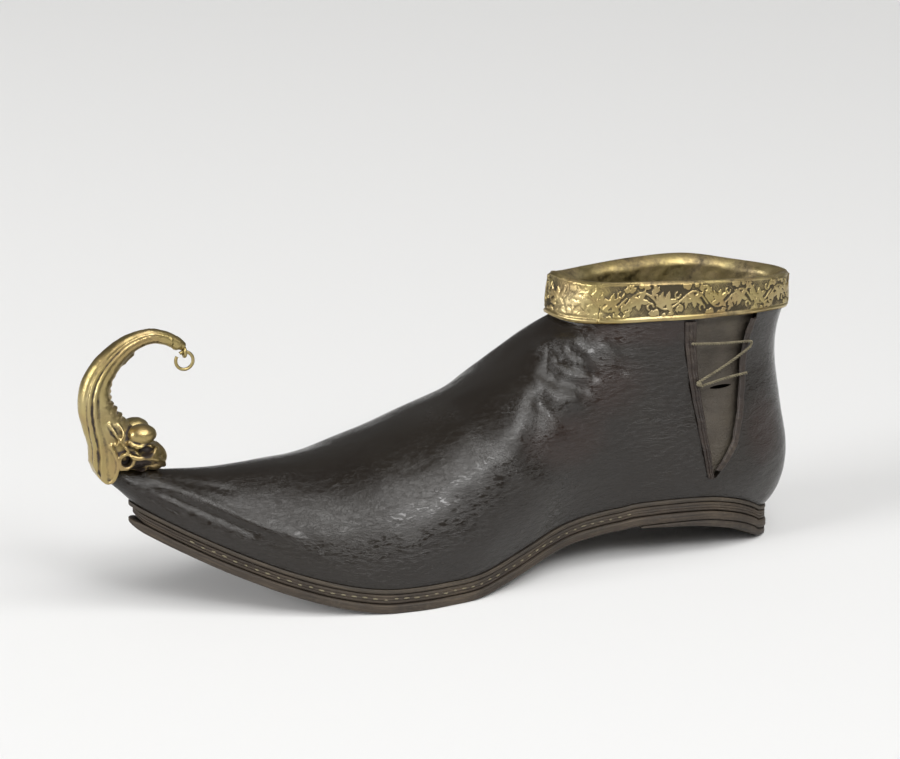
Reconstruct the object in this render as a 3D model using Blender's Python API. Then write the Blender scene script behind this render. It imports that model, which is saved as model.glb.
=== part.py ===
# A pointed ankle shoe of leather for the right foot, with a gilt collar band and a curled
# gilt toe mount that carries a loose ring. Metres; +X is the toe, +Y the inner side of the
# foot, +Z up. The origin is on the floor, in the middle of the heel's flat spot.
import math

import bmesh
import bpy
import numpy as np
from mathutils import Matrix

# Sole: length, widths, stance and layers
SOLE_LENGTH = 0.2535
HEEL_WIDTH = 0.057
WAIST_WIDTH = 0.0556
BALL_WIDTH = 0.0855
HEEL_REST_START = 0.0025
HEEL_REST_LENGTH = 0.008
BALL_REST_START = 0.134
BALL_REST_LENGTH = 0.034
ARCH_RISE = 0.013
ARCH_POWER = 0.92
TOE_SPRING = 0.0315
TOE_SPRING_POWER = 1.6
HEEL_CURL = 0.0035
HEEL_FLAT_SHARE = 0.45
HEEL_CURL_FULL = 0.012
HEEL_CURL_END = 0.070
HEEL_ROUND = 0.0016
HEEL_ROUND_LENGTH = 0.014
LAYER_EDGE = 0.0006
OUTSOLE_THICKNESS = 0.0033
MIDSOLE_THICKNESS = 0.0034
MIDSOLE_INSET = 0.0005
RAND_THICKNESS = 0.0015
RAND_INSET = 0.0002
RAND_WIDTH = 0.0085
RAND_OPEN_SHARE = 1.8
LIFT_THICKNESS = 0.0026
LIFT_EDGE = 0.0007
LIFT_LENGTH = 0.064
LIFT_SKIVE = 0.030
LIFT_INSET = 0.0003
LIFT_BLEND = 0.008
INSOLE_THICKNESS = 0.0015
INSOLE_GAP = 0.0008
GAP = 0.0003

# Upper
UPPER_WALL = 0.0024
INSTEP_RISE = 0.0665
FEATHER_INSET = 0.0008
FOOT_LEAN = 0.15
TOE_FILL = 0.012

# Collar band, folded over the collar's edge
COLLAR_LENGTH = 0.0980
COLLAR_WIDTH = 0.056
COLLAR_BACK = -0.0090
COLLAR_BACK_HEIGHT = 0.1013
COLLAR_FRONT_HEIGHT = 0.1085
COLLAR_LEAN = 0.0024
BAND_HEIGHT = 0.0143
BAND_TAPER = 0.19
BAND_THICKNESS = 0.0010
BAND_LINING_DEPTH = 0.0125
BAND_BEAD = 0.0006

# Side opening: V notch, gusset, facing and lace
NOTCH_WIDTH = 0.0285
NOTCH_FRONT = 0.0430
NOTCH_POINT = 0.0352
NOTCH_POINT_HEIGHT = 0.0295
NOTCH_PAST = 1.3
GUSSET_THICKNESS = 0.0012
GUSSET_LAP = 0.0030
FACING_THICKNESS = 0.0010
FACING_WIDTH = 0.0055
FACING_POINT_WIDTH = 0.0025
LACE_RADIUS = 0.0007
LACE_BEND_FROM = 0.9
LACE_BEND_RISE = 1.12

# Toe mount and its ring
HORN_RISE = 0.0580
HEAD_LENGTH = 0.0260
HEAD_WIDTH = 0.0165
BROW_RADIUS = 0.0046
EYE_RADIUS = 0.0030
SOCKET_RADIUS = 0.0017
SOCKET_DEPTH = 0.0058
LOOP_BORE = 0.0020
LOOP_WIRE = 0.0012
RING_RADIUS = 0.00315
RING_WIRE = 0.0012
RING_OPENING = 26.0
RING_OPENING_AT = 45.0

HEEL_BACK = -(HEEL_REST_START + HEEL_REST_LENGTH / 2)
NEAR = 1
FAR = -1

# The sole's outline: a row for each section, from the heel's back to the toe's tip. Along
# is a share of the sole's length; near and far are shares of the width in the last column.
SOLE_OUTLINE = (
    # along, near, far, width
    (0.000, 0.000, 0.000, HEEL_WIDTH),
    (0.016, 0.263, 0.263, HEEL_WIDTH),
    (0.055, 0.410, 0.410, HEEL_WIDTH),
    (0.118, 0.495, 0.500, HEEL_WIDTH),
    (0.197, 0.495, 0.520, HEEL_WIDTH),
    (0.284, 0.460, 0.540, WAIST_WIDTH),
    (0.375, 0.490, 0.590, WAIST_WIDTH),
    (0.442, 0.390, 0.425, BALL_WIDTH),
    (0.497, 0.440, 0.454, BALL_WIDTH),
    (0.544, 0.477, 0.476, BALL_WIDTH),
    (0.592, 0.497, 0.489, BALL_WIDTH),
    (0.643, 0.502, 0.491, BALL_WIDTH),
    (0.710, 0.468, 0.468, BALL_WIDTH),
    (0.781, 0.398, 0.415, BALL_WIDTH),
    (0.852, 0.296, 0.322, BALL_WIDTH),
    (0.919, 0.190, 0.212, BALL_WIDTH),
    (0.9665, 0.108, 0.120, BALL_WIDTH),
    (0.992, 0.058, 0.062, BALL_WIDTH),
    (1.000, 0.000, 0.000, BALL_WIDTH),
)

# The collar's plan for the first nine sections, from its back corner to its round front:
# along is a share of the collar's length, near and far are shares of its width, and the
# lifts are shares of the band's height, over a straight line from back to front.
COLLAR_OUTLINE = (
    # along, near, far, near_lift, far_lift
    (0.000, 0.000, 0.000, 0.00, 0.00),
    (0.022, 0.120, 0.140, 0.01, 0.00),
    (0.110, 0.300, 0.340, 0.07, -0.01),
    (0.300, 0.445, 0.480, 0.11, 0.07),
    (0.520, 0.500, 0.500, 0.12, -0.05),
    (0.720, 0.480, 0.450, 0.09, -0.19),
    (0.865, 0.385, 0.330, 0.00, -0.22),
    (0.962, 0.225, 0.175, -0.05, -0.14),
    (1.000, 0.000, 0.000, 0.00, 0.00),
)

# The ridge over instep and toe for the other sections: along is a share of the sole's
# length, rise a share of the instep's rise over the sole.
RIDGE = (
    # along, rise
    (0.3886, 1.000),
    (0.444, 0.878),
    (0.521, 0.822),
    (0.615, 0.714),
    (0.718, 0.586),
    (0.817, 0.456),
    (0.903, 0.314),
    (0.9625, 0.208),
    (1.006, 0.108),
    (1.024, 0.072),
)

# How each section's side bows between sole and top. Out, ahead and side are shares of the
# section's width in the outline's table; rise and drop are shares of the section's height.
SIDE_SHAPE = (
    # out, rise, ahead, side, drop
    (0.350, 0.24, 0.240, 0.000, 0.35),
    (0.310, 0.25, 0.190, -0.030, 0.35),
    (0.210, 0.27, 0.125, -0.070, 0.35),
    (0.120, 0.28, 0.060, -0.070, 0.35),
    (0.085, 0.30, 0.010, -0.040, 0.36),
    (0.090, 0.32, 0.060, 0.010, 0.34),
    (0.125, 0.34, 0.160, 0.110, 0.28),
    (0.094, 0.36, 0.120, 0.175, 0.20),
    (0.090, 0.38, 0.115, 0.270, 0.13),
    (0.080, 0.42, 0.090, 0.280, 0.075),
    (0.070, 0.46, 0.050, 0.295, 0.030),
    (0.060, 0.50, 0.035, 0.304, 0.015),
    (0.058, 0.52, 0.025, 0.285, 0.008),
    (0.055, 0.52, 0.010, 0.240, 0.000),
    (0.047, 0.52, 0.000, 0.180, 0.000),
    (0.041, 0.52, 0.000, 0.120, 0.000),
    (0.030, 0.50, 0.000, 0.074, 0.000),
    (0.023, 0.50, 0.000, 0.042, 0.000),
    (0.023, 0.50, 0.000, 0.000, 0.000),
)

FRONT_SECTION = len(COLLAR_OUTLINE) - 1
TIP_SECTION = len(SOLE_OUTLINE) - 1
SUBSTEPS = 2
SIDE_STEPS = 9
WALL_STEPS = 3


def mirrored(rows):
    # One extra row past each end, with the side coordinate turned over
    rows = np.asarray(rows, float)
    flip = np.array([1.0, -1.0, 1.0])[: rows.shape[1]]
    return np.vstack([rows[1] * flip, rows, rows[-2] * flip])


def open_ended(rows):
    rows = np.asarray(rows, float)
    return np.vstack([2 * rows[0] - rows[1], rows, 2 * rows[-1] - rows[-2]])


def spline(padded, t):
    # A Catmull-Rom curve through the rows between the two padding rows
    last = len(padded) - 3
    k = min(int(t), last - 1)
    f = t - k
    a, b, c, d = padded[k:k + 4]
    return 0.5 * (2 * b + (c - a) * f + (2 * a - 5 * b + 4 * c - d) * f ** 2
                  + (3 * b - a - 3 * c + d) * f ** 3)


def smooth(low, high, value):
    f = min(max((value - low) / (high - low), 0.0), 1.0)
    return f * f * (3 - 2 * f)


def unit(v):
    return v / max(np.linalg.norm(v), 1e-12)


def along_x(share):
    return HEEL_BACK + share * SOLE_LENGTH


def centre_height(x):
    # The underside on the centre line: heel spot, arch, forefoot spot and toe spring
    along = min(max(x - HEEL_BACK, 0.0), SOLE_LENGTH)
    heel_end = HEEL_REST_START + HEEL_REST_LENGTH
    ball_end = BALL_REST_START + BALL_REST_LENGTH
    if along <= heel_end:
        return 0.0
    if along < BALL_REST_START:
        share = (along - heel_end) / (BALL_REST_START - heel_end)
        return ARCH_RISE * math.sin(math.pi * share ** ARCH_POWER)
    if along <= ball_end:
        return 0.0
    return TOE_SPRING * ((along - ball_end) / (SOLE_LENGTH - ball_end)) ** TOE_SPRING_POWER


def edge_curl(x, y):
    # The heel's edges are curled up a little
    along = x - HEEL_BACK
    half = HEEL_WIDTH / 2
    fade = 1 - smooth(HEEL_CURL_FULL, HEEL_CURL_END, along)
    return HEEL_CURL * smooth(HEEL_FLAT_SHARE * half, half, abs(y)) * fade


def lift_height(x):
    # Room that the heel lift takes under the outsole
    front = HEEL_BACK + LIFT_LENGTH
    if x <= front - LIFT_SKIVE:
        return LIFT_THICKNESS + GAP
    if x <= front + 2 * GAP:
        share = min((x - front + LIFT_SKIVE) / LIFT_SKIVE, 1.0)
        return LIFT_THICKNESS + (LIFT_EDGE - LIFT_THICKNESS) * share + GAP
    return (LIFT_EDGE + GAP) * (1 - smooth(0, LIFT_BLEND, x - front - 2 * GAP))


def outline_key(side):
    rows = [(along_x(r[0]), side * r[1 if side == NEAR else 2] * r[3]) for r in SOLE_OUTLINE]
    return mirrored(rows)


OUTLINE = {NEAR: outline_key(NEAR), FAR: outline_key(FAR)}


def outline(t, side, inset=0.0):
    # A point of the sole's outline in plan, drawn inwards by inset
    here = spline(OUTLINE[side], t)
    step = 0.01
    low, high = max(t - step, 0.0), min(t + step, TIP_SECTION)
    run = spline(OUTLINE[side], high) - spline(OUTLINE[side], low)
    if t <= 0:
        run = np.array([0.0, side * 1.0])
    if t >= TIP_SECTION:
        run = np.array([0.0, -side * 1.0])
    outward = unit(np.array([-run[1], run[0]])) * side
    return here - outward * inset, outward


def stack_height(x, y):
    # Top of the rand, which the upper stands on
    return (centre_height(x) + edge_curl(x, y) + lift_height(x) + OUTSOLE_THICKNESS
            + MIDSOLE_THICKNESS + RAND_THICKNESS + 2 * GAP)


def collar_top(x):
    # Height of the band's top edge
    share = (x - along_x(0) - COLLAR_BACK) / COLLAR_LENGTH
    return COLLAR_BACK_HEIGHT + (COLLAR_FRONT_HEIGHT - COLLAR_BACK_HEIGHT) * share


def collar_point(t, side, inset, drop):
    # A point on the collar's wall, drop below the band's top edge; the band is higher in front
    rows = []
    for along, near, far, near_lift, far_lift in COLLAR_OUTLINE:
        share, lift = (near, near_lift) if side == NEAR else (far, far_lift)
        rows.append((along * COLLAR_LENGTH, side * share * COLLAR_WIDTH, lift * BAND_HEIGHT))
    padded = mirrored(rows)
    *here, lift = spline(padded, t)
    low, high = max(t - 0.01, 0.0), min(t + 0.01, FRONT_SECTION)
    run = spline(padded, high)[:2] - spline(padded, low)[:2]
    if t <= 0:
        run = np.array([0.0, side * 1.0])
    if t >= FRONT_SECTION:
        run = np.array([0.0, -side * 1.0])
    outward = unit(np.array([-run[1], run[0]])) * side
    here = np.array(here) - outward * inset
    x = HEEL_BACK + COLLAR_BACK + here[0]
    share = here[0] / COLLAR_LENGTH
    lean = COLLAR_LEAN * drop / BAND_HEIGHT * share
    drop *= 1 + BAND_TAPER * (share - 0.5)
    return np.array([x + lean, here[1], collar_top(x) + lift - drop])


COLLAR_INSET = BAND_THICKNESS + GAP
COLLAR_DROP = BAND_HEIGHT + 2.5 * GAP


def section_points(side):
    # The four Bezier points of each section's side
    points = []
    for k, (out, rise, ahead, aside, drop) in enumerate(SIDE_SHAPE):
        width = SOLE_OUTLINE[k][3]
        foot, outward = outline(k, side, FEATHER_INSET)
        foot = np.array([*foot, stack_height(*foot) + GAP])
        if k <= FRONT_SECTION:
            top = collar_point(k, side, COLLAR_INSET, COLLAR_DROP)
        else:
            share, lift = RIDGE[k - FRONT_SECTION - 1]
            x = along_x(share)
            top = np.array([x, 0.0, stack_height(x, 0.0) + GAP + lift * INSTEP_RISE])
        height = top[2] - foot[2]
        lean = FOOT_LEAN * (top[0] - foot[0]) * np.array([1.0, 0.0, 0.0])
        low = foot + np.append(outward, 0.0) * out * width + lean + np.array([0, 0, rise * height])
        high = top + np.array([ahead * width, side * aside * width, -drop * height])
        points.append((foot, low, high, top))
    return points


SECTIONS = {}
for one_side in (NEAR, FAR):
    feet, lows, highs, tops = zip(*section_points(one_side))
    SECTIONS[one_side] = (
        mirrored(feet), mirrored(lows), mirrored(highs), open_ended(tops[FRONT_SECTION:]),
    )


def surface(t, s, side):
    # The upper's outer face: t counts sections from the heel, s runs up from the sole
    feet, lows, highs, ridge = SECTIONS[side]
    if t <= FRONT_SECTION:
        top = collar_point(t, side, COLLAR_INSET, COLLAR_DROP)
    else:
        top = spline(ridge, t - FRONT_SECTION)
    r = 1 - s
    return (r ** 3 * spline(feet, t) + 3 * r * r * s * spline(lows, t)
            + 3 * r * s * s * spline(highs, t) + s ** 3 * top)


def surface_normal(t, s, side):
    step = 0.02
    t0, t1 = max(t - step, 0.0), min(t + step, TIP_SECTION)
    if t <= FRONT_SECTION < t1:
        t1 = FRONT_SECTION
    if t0 < FRONT_SECTION < t:
        t0 = FRONT_SECTION
    s0, s1 = max(s - step, 0.0), min(s + step, 1.0)
    run = surface(t1, s, side) - surface(t0, s, side)
    rise = surface(t, s1, side) - surface(t, s0, side)
    return unit(np.cross(rise, run)) * side


def offset_point(t, s, side, offset):
    # A point at a set distance from the upper's outer face; the centre line stays central
    here = surface(t, s, side)
    normal = surface_normal(t, s, side)
    if abs(here[1]) < 1e-7:
        both = normal + surface_normal(t, s, -side)
        normal = unit(both * np.array([1.0, 0.0, 1.0]))
    return here + normal * offset


def add_grid(bm, grid):
    # Quads between neighbouring points of a grid of points
    verts = [[bm.verts.new(p) for p in row] for row in grid]
    for i in range(len(grid) - 1):
        for j in range(len(grid[0]) - 1):
            bm.faces.new((verts[i][j], verts[i + 1][j], verts[i + 1][j + 1], verts[i][j + 1]))


def material(name, colour, roughness, metallic=0.0):
    made = bpy.data.materials.get(name)
    if made is None:
        made = bpy.data.materials.new(name)
        made.use_nodes = True
        shader = made.node_tree.nodes["Principled BSDF"]
        shader.inputs["Base Color"].default_value = (*colour, 1.0)
        shader.inputs["Roughness"].default_value = roughness
        shader.inputs["Metallic"].default_value = metallic
    return made


def finish(bm, name, look, angle=40.0):
    # Merge the seams, turn the faces outwards and make the object
    bmesh.ops.remove_doubles(bm, verts=bm.verts[:], dist=1e-6)
    bmesh.ops.dissolve_degenerate(bm, dist=1e-7, edges=bm.edges[:])
    bmesh.ops.recalc_face_normals(bm, faces=bm.faces[:])
    if bm.calc_volume(signed=True) < 0:
        bmesh.ops.reverse_faces(bm, faces=bm.faces[:])
    mesh = bpy.data.meshes.new(name)
    bm.to_mesh(mesh)
    bm.free()
    mesh.shade_smooth()
    mesh.set_sharp_from_angle(angle=math.radians(angle))
    piece = bpy.data.objects.new(name, mesh)
    parts.objects.link(piece)
    if look is not None:
        mesh.materials.append(look)
    return piece


def as_cutter(piece):
    parts.objects.unlink(piece)
    cutters.objects.link(piece)
    piece.hide_render = True
    piece.display_type = "WIRE"
    return piece


def boolean(piece, other, operation):
    change = piece.modifiers.new(operation.lower(), "BOOLEAN")
    change.operation = operation
    change.object = other
    return change


for old in list(bpy.data.objects):
    bpy.data.objects.remove(old, do_unlink=True)
parts = bpy.data.collections.new("pointed_shoe")
cutters = bpy.data.collections.new("cutters")
bpy.context.scene.collection.children.link(parts)
bpy.context.scene.collection.children.link(cutters)

upper_leather = material("upper_leather", (0.035, 0.028, 0.024), 0.32)
sole_leather = material("sole_leather", (0.085, 0.055, 0.036), 0.62)
lining_leather = material("lining_leather", (0.16, 0.11, 0.07), 0.70)
cord_fibre = material("cord_fibre", (0.20, 0.13, 0.06), 0.75)
gilt = material("gilt", (0.62, 0.47, 0.20), 0.34, 1.0)

SHELL_STOPS = [i / SUBSTEPS for i in range(TIP_SECTION * SUBSTEPS + 1)]
SIDE_STOPS = [j / SIDE_STEPS for j in range(SIDE_STEPS + 1)]


def inner_limit():
    # The last section of the hollow: past it the pointed tip is solid
    for t in reversed(SHELL_STOPS):
        if outline(t, NEAR)[0][0] <= along_x(1.0) - TOE_FILL:
            return t
    return TIP_SECTION


def make_upper():
    bm = bmesh.new()
    hollow_end = inner_limit()
    hollow = [t for t in SHELL_STOPS if t <= hollow_end]
    tip = [t for t in SHELL_STOPS if t >= hollow_end]
    wall_drops = [COLLAR_DROP + (1.5 * GAP + BAND_THICKNESS - COLLAR_DROP) * j / WALL_STEPS
                  for j in range(WALL_STEPS + 1)]
    collar = [t for t in SHELL_STOPS if t <= FRONT_SECTION]
    for side in (NEAR, FAR):
        outer = [[surface(t, s, side) for s in SIDE_STOPS] for t in SHELL_STOPS]
        inner = [[offset_point(t, s, side, -UPPER_WALL) for s in SIDE_STOPS] for t in hollow]
        for t, column in zip(hollow, inner):
            column[0][2] = surface(t, 0, side)[2]
            if t <= FRONT_SECTION:
                column[-1] = collar_point(t, side, COLLAR_INSET + UPPER_WALL, COLLAR_DROP)
        add_grid(bm, outer)
        add_grid(bm, inner)
        add_grid(bm, [[a[0], b[0]] for a, b in zip(outer, inner)])
        walls = []
        for inset in (COLLAR_INSET, COLLAR_INSET + UPPER_WALL):
            walls.append([[collar_point(t, side, inset, d) for d in wall_drops] for t in collar])
            add_grid(bm, walls[-1])
        add_grid(bm, [[a[-1], b[-1]] for a, b in zip(*walls)])
    # The hollow's end wall and the tip's underside lie across the foot
    ends = [[offset_point(hollow_end, s, side, -UPPER_WALL) for s in SIDE_STOPS]
            for side in (NEAR, FAR)]
    for side, column in zip((NEAR, FAR), ends):
        column[0][2] = surface(hollow_end, 0, side)[2]
    add_grid(bm, [list(pair) for pair in zip(*ends)])
    under = [[surface(t, 0, NEAR), surface(t, 0, FAR)] for t in tip]
    add_grid(bm, [[ends[0][0], ends[1][0]]] + under)
    made = finish(bm, "upper", upper_leather)
    boolean(made, notch_cutter(), "DIFFERENCE")
    return made


# The notch's two edges, from its point up to the collar. Along is a share of the distance
# from the point to the edge's place at the collar, up a share of the height to the collar.
NOTCH_FRONT_EDGE = ((0.00, 0.00), (0.40, 0.28), (0.80, 0.62), (0.97, 0.83), (1.00, 1.00))
NOTCH_REAR_EDGE = ((0.00, 0.00), (0.28, 0.11), (0.52, 0.24), (0.68, 0.45), (0.74, 0.60),
                   (0.80, 0.78), (1.00, 1.00))


def notch_edge(rows, top_x, share):
    # A point of a notch edge, share of the way up; it runs on straight past the collar
    point_x = HEEL_BACK + NOTCH_POINT
    ups = [r[1] for r in rows]
    reach = np.interp(share, ups, [r[0] for r in rows])
    top = collar_top(top_x) - BAND_HEIGHT
    return (point_x + (top_x - point_x) * reach,
            NOTCH_POINT_HEIGHT + (top - NOTCH_POINT_HEIGHT) * share)


def notch_front(share):
    return notch_edge(NOTCH_FRONT_EDGE, HEEL_BACK + NOTCH_FRONT, share)


def notch_rear(share):
    return notch_edge(NOTCH_REAR_EDGE, HEEL_BACK + NOTCH_FRONT - NOTCH_WIDTH, share)


def notch_cutter():
    # A prism of the notch's outline that passes through the inner side only
    shares = [i / 8 for i in range(9)] + [NOTCH_PAST]
    ring = [notch_front(f) for f in shares] + [notch_rear(f) for f in reversed(shares[1:])]
    bm = bmesh.new()
    walls = [[bm.verts.new((x, y, z)) for x, z in ring] for y in (0.2 * HEEL_WIDTH, HEEL_WIDTH)]
    bm.faces.new(walls[0])
    bm.faces.new(walls[1])
    for i in range(len(ring)):
        j = (i + 1) % len(ring)
        bm.faces.new((walls[0][i], walls[0][j], walls[1][j], walls[1][i]))
    return as_cutter(finish(bm, "notch_cutter", None))


def on_side(x, z, offset):
    # The point of the inner side at a given place along and height, offset from the leather
    t, s = 3.6, 0.5
    for _ in range(12):
        here = surface(t, s, NEAR)
        step = 0.01
        by_t = (surface(t + step, s, NEAR) - here) / step
        by_s = (surface(t, s + step, NEAR) - here) / step
        slope = np.array([[by_t[0], by_s[0]], [by_t[2], by_s[2]]])
        t, s = np.array([t, s]) + np.linalg.solve(slope, [x - here[0], z - here[2]])
        t, s = min(max(t, 1.0), 7.0), min(max(s, 0.02), 0.98)
    return surface(t, s, NEAR) + surface_normal(t, s, NEAR) * offset


def add_slab(bm, low, high):
    # Two like grids of points as the faces of one slab
    add_grid(bm, low)
    add_grid(bm, high)
    for a, b in ((low[0], high[0]), (low[-1], high[-1])):
        add_grid(bm, [a, b])
    for j in (0, -1):
        add_grid(bm, [[row[j] for row in low], [row[j] for row in high]])


def side_panel(name, left, right, offsets, shares, columns, look):
    # A strip of the inner side between two edges, lying at the given offsets from the leather
    bm = bmesh.new()
    faces = []
    for offset in offsets:
        grid = []
        for share in shares:
            a, b = np.array(left(share)), np.array(right(share))
            spots = [a + (b - a) * i / columns for i in range(columns + 1)]
            grid.append([on_side(x, z, offset) for x, z in spots])
        faces.append(grid)
    add_slab(bm, *faces)
    return finish(bm, name, look)


def make_gusset():
    inner = -(UPPER_WALL + GAP)

    def rear(share):
        x, z = notch_rear(share)
        return x - GUSSET_LAP, z - GUSSET_LAP * (1 - share)

    def front(share):
        x, z = notch_front(share)
        return x + GUSSET_LAP, z - GUSSET_LAP * (1 - share)

    top = 1 - GAP / NOTCH_POINT_HEIGHT
    shares = [top * i / 8 for i in range(9)]
    side_panel("side_gusset", rear, front, (inner, inner - GUSSET_THICKNESS), shares, 5,
               lining_leather)


def make_facing():
    def outer(share):
        x, z = notch_front(share)
        return x + FACING_POINT_WIDTH + (FACING_WIDTH - FACING_POINT_WIDTH) * share, z

    top = 1 - 3 * GAP / NOTCH_POINT_HEIGHT
    shares = [0.02 + (top - 0.02) * i / 8 for i in range(9)]
    side_panel("side_facing", notch_front, outer, (GAP, GAP + FACING_THICKNESS), shares, 2,
               upper_leather)


# The lace's route over the notch: across is 0 on the rear edge and 1 on the front edge, up
# is a share of the notch's height.
LACE_ROUTE = (
    # across, up
    (1.13, 0.872), (0.55, 0.862), (-0.02, 0.855), (-0.06, 0.832), (0.01, 0.805),
    (0.50, 0.720), (1.00, 0.638), (1.07, 0.622), (1.00, 0.606), (0.50, 0.632), (-0.05, 0.652),
)


def make_lace():
    lift = GAP + FACING_THICKNESS + GAP + LACE_RADIUS
    route = []
    for across, up in LACE_ROUTE:
        a, b = np.array(notch_rear(up)), np.array(notch_front(up))
        x, z = a + (b - a) * across
        rise = LACE_BEND_RISE if across > LACE_BEND_FROM else 1.0
        route.append(on_side(x, z, lift * rise))
    padded = open_ended(route)
    path = [spline(padded, i / 3) for i in range((len(route) - 1) * 3 + 1)]
    add_wire("side_lace", path, LACE_RADIUS, cord_fibre)


def add_wire(name, path, radius, look):
    curve = bpy.data.curves.new(name, "CURVE")
    curve.dimensions = "3D"
    curve.bevel_depth = radius
    curve.bevel_resolution = 2
    curve.use_fill_caps = True
    run = curve.splines.new("POLY")
    run.points.add(len(path) - 1)
    for point, place in zip(run.points, path):
        point.co = (*place, 1.0)
    piece = bpy.data.objects.new(name, curve)
    parts.objects.link(piece)
    curve.materials.append(look)
    return piece


def make_band():
    # A folded section swept round the collar: inset from the band's outer face, drop from
    # its top edge
    inner = COLLAR_INSET + UPPER_WALL + GAP
    section = (
        (BAND_THICKNESS, BAND_HEIGHT), (0.0, BAND_HEIGHT),
        (-BAND_BEAD, BAND_HEIGHT - BAND_BEAD), (-BAND_BEAD, BAND_HEIGHT - 2 * BAND_BEAD),
        (0.0, BAND_HEIGHT - 3 * BAND_BEAD), (0.0, 3 * BAND_BEAD),
        (-BAND_BEAD / 2, 2 * BAND_BEAD), (-BAND_BEAD / 2, BAND_BEAD), (BAND_BEAD, 0.0),
        (inner + BAND_THICKNESS - BAND_BEAD, 0.0), (inner + BAND_THICKNESS, BAND_BEAD),
        (inner + BAND_THICKNESS, BAND_LINING_DEPTH), (inner, BAND_LINING_DEPTH),
        (inner, BAND_THICKNESS), (BAND_THICKNESS, BAND_THICKNESS),
    )
    bm = bmesh.new()
    for side in (NEAR, FAR):
        stops = [t for t in SHELL_STOPS if t <= FRONT_SECTION]
        rings = [[collar_point(t, side, inset, drop) for inset, drop in section] for t in stops]
        add_grid(bm, [ring + ring[:1] for ring in rings])
    finish(bm, "collar_band", gilt)


ACROSS = (-1.0, -0.72, -0.45, 0.45, 0.72, 1.0)


def plan_row(t, inset):
    # Points across the sole at one section
    near, far = outline(t, NEAR, inset)[0], outline(t, FAR, inset)[0]
    return [far + (near - far) * (q + 1) / 2 for q in ACROSS]


def make_layer(name, low, high, inset, edge, stops, look, heel_round=0.0):
    # A layer of the sole between two heights, its lower and upper edges rounded by edge
    def level(height, draw, extra):
        rows = []
        for t in stops:
            behind = outline(t, NEAR)[0][0] - HEEL_BACK
            back = heel_round * (1 - smooth(0.0, HEEL_ROUND_LENGTH, behind))
            drawn = inset + draw + (back if draw else 0.0)
            rows.append([np.array([x, y, height(x, y) + extra]) for x, y in plan_row(t, drawn)])
        return rows

    levels = [level(low, edge, 0.0), level(low, 0.0, edge), level(high, 0.0, -edge),
              level(high, edge, 0.0)]
    bm = bmesh.new()
    add_grid(bm, levels[0])
    add_grid(bm, levels[-1])
    for a, b in zip(levels, levels[1:]):
        for j in (0, -1):
            add_grid(bm, [[row[j] for row in a], [row[j] for row in b]])
    if stops[-1] < TIP_SECTION:
        low_end, low_wall, high_wall, high_end = [rows[-1] for rows in levels]
        loop = low_end + [low_wall[-1], high_wall[-1]] + high_end[::-1] + [high_wall[0], low_wall[0]]
        bm.faces.new([bm.verts.new(p) for p in loop])
    return finish(bm, name, look)


def base(x, y):
    return centre_height(x) + edge_curl(x, y)


def over_lift(x, y):
    return base(x, y) + lift_height(x)


def stop_before(x):
    return [t for t in SHELL_STOPS if outline(t, NEAR)[0][0] < x]


def make_sole():
    def lift_top(x, y):
        share = min(max((x - HEEL_BACK - LIFT_LENGTH + LIFT_SKIVE) / LIFT_SKIVE, 0.0), 1.0)
        return base(x, y) + LIFT_THICKNESS + (LIFT_EDGE - LIFT_THICKNESS) * share

    def midsole_low(x, y):
        return over_lift(x, y) + OUTSOLE_THICKNESS + GAP

    make_layer("heel_lift", base, lift_top, LIFT_INSET, LIFT_EDGE / 3,
               stop_before(HEEL_BACK + LIFT_LENGTH), sole_leather, HEEL_ROUND)
    make_layer("outsole", over_lift, lambda x, y: over_lift(x, y) + OUTSOLE_THICKNESS, 0.0,
               LAYER_EDGE, SHELL_STOPS, sole_leather)
    make_layer("midsole", midsole_low, lambda x, y: midsole_low(x, y) + MIDSOLE_THICKNESS,
               MIDSOLE_INSET, LAYER_EDGE, SHELL_STOPS, sole_leather)


def make_rand():
    # A strip round the upper's foot, open in the middle up to the narrow toe
    def low(x, y):
        return stack_height(x, y) - RAND_THICKNESS

    rand = make_layer("rand", low, stack_height, RAND_INSET, RAND_THICKNESS / 5,
                      SHELL_STOPS, sole_leather)
    open_stops = [t for t in SHELL_STOPS if t < TIP_SECTION / 2
                  or abs(outline(t, NEAR)[0][1]) > RAND_OPEN_SHARE * RAND_WIDTH]
    hole = make_layer("rand_hole", lambda x, y: low(x, y) - RAND_THICKNESS,
                      lambda x, y: low(x, y) + 2 * RAND_THICKNESS, RAND_WIDTH, GAP, open_stops,
                      None)
    boolean(rand, as_cutter(hole), "DIFFERENCE")


def make_insole():
    end = along_x(1.0) - TOE_FILL - UPPER_WALL

    def seat(x, y):
        return stack_height(x, y) + INSOLE_GAP

    make_layer("insole", seat, lambda x, y: seat(x, y) + INSOLE_THICKNESS,
               FEATHER_INSET + UPPER_WALL + 2 * GAP, INSOLE_THICKNESS / 4, stop_before(end),
               lining_leather)


# The toe mount's spine from the leather to the tip of the curl. Ahead and up are shares of
# the horn's rise, thick is a share of the head's length and wide of the head's width.
HORN = (
    # ahead, up, thick, wide
    (-0.045, 0.046, 0.72, 0.66),
    (-0.043, 0.158, 0.84, 0.94),
    (0.000, 0.288, 0.98, 1.00),
    (0.055, 0.400, 0.86, 0.92),
    (0.135, 0.503, 0.60, 0.76),
    (0.183, 0.615, 0.475, 0.64),
    (0.178, 0.735, 0.410, 0.57),
    (0.117, 0.848, 0.355, 0.50),
    (0.029, 0.935, 0.295, 0.425),
    (-0.060, 0.987, 0.248, 0.365),
    (-0.164, 1.012, 0.210, 0.315),
    (-0.255, 0.994, 0.186, 0.280),
    (-0.326, 0.958, 0.168, 0.255),
    (-0.379, 0.925, 0.110, 0.160),
)
HORN_SIDES = 12
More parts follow.
